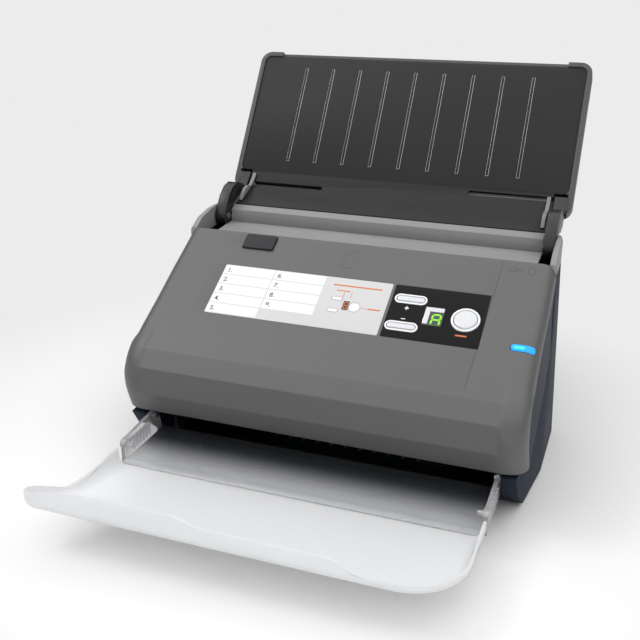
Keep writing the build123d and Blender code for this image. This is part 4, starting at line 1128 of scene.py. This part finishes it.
class SCANNER_OT_output_tray(bpy.types.Operator):
    """Clear output link and the frosted panel with its rim"""
    bl_idname = "scanner.output_tray"
    bl_label = "Output Tray"

    def execute(self, context):
        look = finishes()
        hand_over(self.panel(), "output_panel", look["frosted"], ("output_panel",))
        hand_over(self.link_plate(), "output_link", look["plate"])
        hand_over(self.link_arms(), "output_link", look["arm"], ("output_link",))
        frame["nodes"]["knuckle_pins"].data.materials.clear()
        frame["nodes"]["knuckle_pins"].data.materials.append(look["arm"])
        return {"FINISHED"}

    def panel(self):
        """Both skins of the panel: floor, bend, wall and a rounded rim, closed at the rear."""
        wall = PANEL_WALL
        rim = [(0.0, 1.2), (0.12, 0.5), (0.55, 0.08), (wall / 2, 0.0), (wall - 0.55, 0.08),
               (wall - 0.12, 0.5), (wall, 1.2)]
        rows = [self.ring(inset, rise) for inset, rise in self.bend_line(0.0)]
        rows += [self.climb(0.0, share) for share in (0.3, 0.6)]
        rows += [self.climb(inset, 1.0, drop) for inset, drop in rim]
        rows += [self.climb(wall, share) for share in (0.6, 0.3)]
        rows += [self.ring(inset, rise) for inset, rise in reversed(self.bend_line(wall))]
        count = len(rows[0])
        total = len(rows)
        faces = strips(rows)
        for end in (0, count - 1):
            for r in range(total // 2):
                back = total - 1 - r
                if back - r > 1:
                    faces.append(tuple(i * count + end for i in (r, r + 1, back - 1, back)))
        last = (total - 1) * count
        faces.append((0, count - 1, last + count - 1, last))
        faces.append(tuple(range(count)))
        faces.append(tuple(range(last, last + count)))
        skin = piece_from("panel_skin", [p for row in rows for p in row], faces)

        def work(form):
            bmesh.ops.triangulate(form, faces=[f for f in form.faces if len(f.verts) > 4])
        edit(skin, work)
        close_up(skin, 0.001)
        boss = turned("boss", [(0.0, -0.8), (4.2, -0.8), (4.2, 0.35), (3.8, 0.75), (3.0, 0.8),
                               (2.6, 0.45), (0.0, 0.4)],
                      shifted(UPRIGHT, -8.0, -188.0, panel_face(-188.0)), 40)
        ears = []
        for side in (-1, 1):
            near, wide = sorted((side * 131.0, side * 134.0))
            round_end = round_about(KNUCKLE, KNUCKLE_ROUND, 75, 226, 15)
            foot = [(-117.6, 20.8), (-121.9, 19.2), (-122.0, 18.2), (-128.0, 18.8), (-128.0, 21.2),
                    (-122.5, 27.0)]
            outline = list(reversed(foot)) + list(reversed(round_end))
            ear = solid("ear", outline, near, wide, SIDE_VIEW)
            drill(ear, (near + wide) / 2, *KNUCKLE, 1.9, 24)
            ears.append(round_edges(ear, 0.5, 2, 45))
        return smooth(joined("output_panel_moulding", [skin, boss] + ears), 35)

    def bend_line(self, depth):
        """Insets and rises of the floor's edge and the bend, at a depth under the outer skin."""
        radius = PANEL_BEND - depth
        turns = [math.radians(90 * k / 8) for k in range(9)]
        return [(PANEL_BEND + 0.8, depth)] + [
            (PANEL_BEND - radius * math.sin(t), PANEL_BEND - radius * math.cos(t)) for t in turns]

    def ring(self, inset, rise):
        """Row of the floor or the bend, a rise above the panel's underside."""
        return [(x, y, panel_face(y) - PANEL_WALL + rise) for x, y in panel_outline(inset)]

    def climb(self, inset, share, drop=0.0):
        """Row of the wall, a share of the way from the bend to the rim, less a drop."""
        row = []
        for x, y in panel_outline(inset):
            low = panel_face(y) - PANEL_WALL + PANEL_BEND
            top = max(lip_height(x, y) - drop, low + 0.3)
            row.append((x, y, low + (top - low) * share))
        return row

    def link_plate(self):
        """Floor of the link, with a bead along its front edge."""
        side = [(-59.0, 17.7), (-59.0, 20.0), (-60.0, 20.9), (-62.5, 20.9), (-63.5, 20.0),
                (-112.6, 20.0), (-113.4, 20.3), (-115.4, 20.9), (-118.6, 20.9), (-120.6, 20.4),
                (-121.3, 19.9), (-119.6, 18.7), (-117.2, 17.7)]
        plate = solid("output_link_plate", list(reversed(side)), -134.9, 134.9, SIDE_VIEW)
        return smooth(round_edges(close_up(plate), 0.25, 2, 30), 35)

    def link_arms(self):
        """Side arms of the link with raised borders, ribs and hinge rounds."""
        parts = []
        for side in (-1, 1):
            top = round_about(LINK_PIVOT, LINK_ROUND, 10, 101, 15)
            front = round_about(KNUCKLE, KNUCKLE_ROUND, 90, 181, 15)
            line = [(-60.5, 22.0)] + top + front + [(-116.0, 17.7), (-59.0, 17.7)]
            near, far = sorted((side * 135.0, side * LINK_HALF))
            arm = solid("arm", line, near, far, SIDE_VIEW)
            for (y, z), radius in ((LINK_PIVOT, 2.6), (KNUCKLE, 1.85)):
                drill(arm, (near + far) / 2, y, z, radius, 28)
            parts.append(round_edges(close_up(arm), 0.45, 2, 45))
            for low, high in ((near - 0.5, near + 0.1), (far - 0.1, far + 0.5)):
                for (y, z), wide, hole in ((LINK_PIVOT, 4.3, 2.8), (KNUCKLE, 3.9, 2.1)):
                    ring = [(hole, low), (wide, low), (wide, high), (hole, high), (hole, low)]
                    parts.append(turned("round", ring, shifted(SIDE_VIEW, y, z), 32))
                for k in range(6):
                    y = -79.5 - 4.6 * k
                    head = LINK_PIVOT[1] + (y - LINK_PIVOT[0]) / 44.0 * 3.0 - 0.6
                    rib = rounded(y, (22.0 + head) / 2, 2.4, head - 22.0, 1.19, 5)
                    parts.append(round_edges(solid("rib", rib, low, high, SIDE_VIEW), 0.25, 2, 50))
        return smooth(joined("output_link_moulding", parts), 35)


# Works inside

NODE_FINISH = {
    "latch_keepers": "steel", "roller_bushes": "gear", "lower_sensor_glass": "glass",
    "upper_sensor_glass": "glass", "lower_sensor_module": "sensor", "upper_sensor_module": "sensor",
    "idler_pins": "steel", "drive_motor": "steel", "main_board": "board", "control_board": "board",
    "power_jack": "dark", "usb_port": "steel", "switch_body": "dark", "cover_hinge_pins": "steel",
    "output_hinge_pins": "steel", "pad_spring": "steel",
    "pinch_rollers": "gear", "separation_pad": "roller", "latch_shaft": "steel",
    "pick_roller": "roller", "feed_roller": "roller", "exit_roller": "roller",
    "large_idler_gear": "gear", "small_idler_gear": "gear", "motor_pinion": "gear",
    "paper_flag": "dark", "power_switch": "dark", "guide_pinion": "gear", "guide_frame": "liner",
    "cover_liner": "liner",
}
SOFT_EDGED = {"guide_frame": 0.4, "cover_liner": 0.4, "separation_pad": 0.5, "power_switch": 0.4,
              "switch_body": 0.3, "power_jack": 0.3, "usb_port": 0.25, "paper_flag": 0.2,
              "latch_shaft": 0.2, "pad_spring": 0.2}


class SCANNER_OT_works(bpy.types.Operator):
    """Rollers, gears, sensors, boards and hinge pins inside the body"""
    bl_idname = "scanner.works"
    bl_label = "Works"

    def execute(self, context):
        look = finishes()
        owner = {n: b for b, group in frame["record"]["behaviour"]["bodies"].items() for n in group}
        for node, key in NODE_FINISH.items():
            if node in SOFT_EDGED:
                piece = moulded_copy(node, SOFT_EDGED[node])
                hand_over(piece, owner[node], look[key], (node,))
            else:
                mesh = frame["nodes"][node].data
                mesh.materials.clear()
                mesh.materials.append(look[key])
        return {"FINISHED"}


# Stage

BACKDROP = (0.84, 0.84, 0.84, 1)


def floor_material(shade):
    """Near the scanner the floor takes light and shadow, and far away it is the pale backdrop."""
    material = bpy.data.materials.new("pale floor")
    material.use_nodes = True
    tree, shader, place = opened(material)
    for key, value in (("Base Color", (shade, shade, shade, 1)), ("Roughness", 0.9),
                       ("Specular IOR Level", 0.1)):
        shader.inputs[key].default_value = value
    plain = wire(tree, "ShaderNodeEmission", {"Color": BACKDROP, "Strength": 1.0})
    reach = wire(tree, "ShaderNodeVectorMath", operation="LENGTH")
    far = fade_of(tree, 0.2, 0.46)
    seen, seen_through = (wire(tree, "ShaderNodeMath", operation="MAXIMUM") for _ in range(2))
    share = wire(tree, "ShaderNodeMath", operation="MULTIPLY")
    path, mix = (tree.nodes.new(kind) for kind in ("ShaderNodeLightPath", "ShaderNodeMixShader"))
    connect(tree, (place, "Object", reach, 0), (reach, "Value", far, "Value"),
            (path, "Is Camera Ray", seen, 0), (path, "Is Glossy Ray", seen, 1),
            (seen, 0, seen_through, 0), (path, "Is Transmission Ray", seen_through, 1),
            (far, "Result", share, 0), (seen_through, 0, share, 1), (share, 0, mix, "Fac"),
            (shader, "BSDF", mix, 1), (plain, "Emission", mix, 2),
            (mix, "Shader", tree.nodes["Material Output"], "Surface"))
    return material


def area_light(name, spot, target, size, power):
    light = bpy.data.lights.new(name, "AREA")
    light.shape = "RECTANGLE"
    light.size, light.size_y = size
    light.energy = power
    lamp = bpy.data.objects.new(name, light)
    bpy.context.scene.collection.objects.link(lamp)
    lamp.location = spot
    lamp.rotation_euler = (Vector(target) - Vector(spot)).to_track_quat("-Z", "Y").to_euler()


class SCANNER_OT_stage(bpy.types.Operator):
    """Pale floor, soft lights and the camera"""
    bl_idname = "scanner.stage"
    bl_label = "Stage"

    def execute(self, context):
        stage = context.scene.scanner_stage
        half = 30.0 / MM
        floor = piece_from("floor", [(-half, -half, 0), (half, -half, 0), (half, half, 0),
                                     (-half, half, 0)], [(0, 1, 2, 3)])
        floor.data.materials.append(floor_material(stage.floor_shade))
        world = bpy.data.worlds.new("studio")
        context.scene.world = world
        world.use_nodes = True
        tree = world.node_tree
        sky = tree.nodes["Background"]
        sky.inputs["Color"].default_value = (1.0, 1.0, 1.0, 1)
        sky.inputs["Strength"].default_value = stage.sky
        pale = wire(tree, "ShaderNodeBackground", {"Color": BACKDROP})
        path = tree.nodes.new("ShaderNodeLightPath")
        mix = tree.nodes.new("ShaderNodeMixShader")
        connect(tree, (path, "Is Camera Ray", mix, "Fac"), (sky, "Background", mix, 1),
                (pale, "Background", mix, 2),
                (mix, "Shader", tree.nodes["World Output"], "Surface"))
        area_light("ceiling", (0.0, -0.3, 2.5), (0, -0.3, 0), (6.0, 6.0), stage.ceiling)
        area_light("key", (-1.3, -0.35, 1.7), (0, 0, 0.1), (0.7, 0.7), stage.key)
        area_light("side", (1.6, -0.5, 1.0), (0, 0, 0.1), (1.2, 0.8), stage.side)
        area_light("front", (0.3, -2.2, 0.2), (0, 0, 0.08), (2.0, 0.3), stage.front)
        camera = bpy.data.cameras.new("camera")
        camera.lens = stage.lens
        camera.sensor_width = 36.0
        camera.clip_end = 100.0
        eye = bpy.data.objects.new("camera", camera)
        context.scene.collection.objects.link(eye)
        eye.location = (0.21104, -0.62370, 0.37332)
        eye.rotation_euler = Euler([math.radians(a) for a in (68.049, 0.16, 20.374)], "XYZ")
        context.scene.camera = eye
        context.scene.view_settings.view_transform = "Standard"
        return {"FINISHED"}


# Settings, panel and registration

def colour_setting(name, description, default):
    return FloatVectorProperty(name=name, description=description, subtype="COLOR", default=default,
                               min=0, max=1)


def length_setting(name, description, default, low, high):
    return FloatProperty(name=name, description=description, default=default, min=low, max=high,
                         subtype="DISTANCE", unit="LENGTH")


def power_setting(name, description, default):
    return FloatProperty(name=name, description=description, default=default, min=0, unit="POWER")


class ScannerColours(bpy.types.PropertyGroup):
    """Colours of the mouldings"""
    cover: colour_setting("Cover", "Front cover; the rear top is lighter", (0.098, 0.098, 0.0995))
    base: colour_setting("Base", "Base housing and the cover's sides", (0.017, 0.024, 0.038))
    tray: colour_setting("Tray shell", "Back shell of the input tray", (0.06, 0.06, 0.062))


class ScannerSizes(bpy.types.PropertyGroup):
    """Sizes of the cover"""
    side_round: length_setting("Side rounding", "Rounding along the slope's sides",
                               0.011, 0.004, 0.014)
    nose_round: length_setting("Nose rounding", "Rounding of the nose's corners",
                               0.015, 0.006, 0.0155)


class ScannerStage(bpy.types.PropertyGroup):
    """Lights, lens and floor"""
    ceiling: power_setting("Ceiling light", "Power of the wide light above", 166.0)
    key: power_setting("Key light", "Power of the light on the left", 7.0)
    side: power_setting("Side light", "Power of the light on the right", 4.0)
    front: power_setting("Front light", "Power of the low light in front", 6.0)
    sky: FloatProperty(name="Sky", description="Strength of the even light all round", default=0.12,
                       min=0)
    floor_shade: FloatProperty(name="Floor shade", description="Lightness of the floor",
                               default=0.84, min=0, max=1)
    lens: FloatProperty(name="Lens", description="Focal length of the camera", default=51.19,
                        min=20, max=120, unit="CAMERA")


class SCANNER_PT_panel(bpy.types.Panel):
    """Lists the scanner's pieces and settings"""
    bl_idname = "SCANNER_PT_panel"
    bl_label = "Document Scanner"
    bl_space_type = "VIEW_3D"
    bl_region_type = "UI"
    bl_category = "Scanner"

    def draw(self, context):
        column = self.layout.column()
        for maker in PIECE_MAKERS:
            column.operator(maker.bl_idname)
        for group in (context.scene.scanner_colours, context.scene.scanner_sizes,
                      context.scene.scanner_stage):
            for name in group.__annotations__:
                column.prop(group, name)


PIECE_MAKERS = (SCANNER_OT_cover, SCANNER_OT_label, SCANNER_OT_controls, SCANNER_OT_base,
                SCANNER_OT_rear_top, SCANNER_OT_input_tray, SCANNER_OT_guides,
                SCANNER_OT_output_tray, SCANNER_OT_works, SCANNER_OT_stage)
SETTINGS = (("scanner_colours", ScannerColours), ("scanner_sizes", ScannerSizes),
            ("scanner_stage", ScannerStage))


def register():
    for _, group in SETTINGS:
        bpy.utils.register_class(group)
    for maker in PIECE_MAKERS:
        bpy.utils.register_class(maker)
    bpy.utils.register_class(SCANNER_PT_panel)
    for name, group in SETTINGS:
        setattr(bpy.types.Scene, name, PointerProperty(type=group))


def unregister():
    for name, _ in SETTINGS:
        delattr(bpy.types.Scene, name)
    bpy.utils.unregister_class(SCANNER_PT_panel)
    for maker in reversed(PIECE_MAKERS):
        bpy.utils.unregister_class(maker)
    for _, group in reversed(SETTINGS):
        bpy.utils.unregister_class(group)


def main():
    register()
    for maker in PIECE_MAKERS:
        group, name = maker.bl_idname.split(".")
        getattr(getattr(bpy.ops, group), name)()
    bpy.context.view_layer.update()


if __name__ == "__main__":
    main()
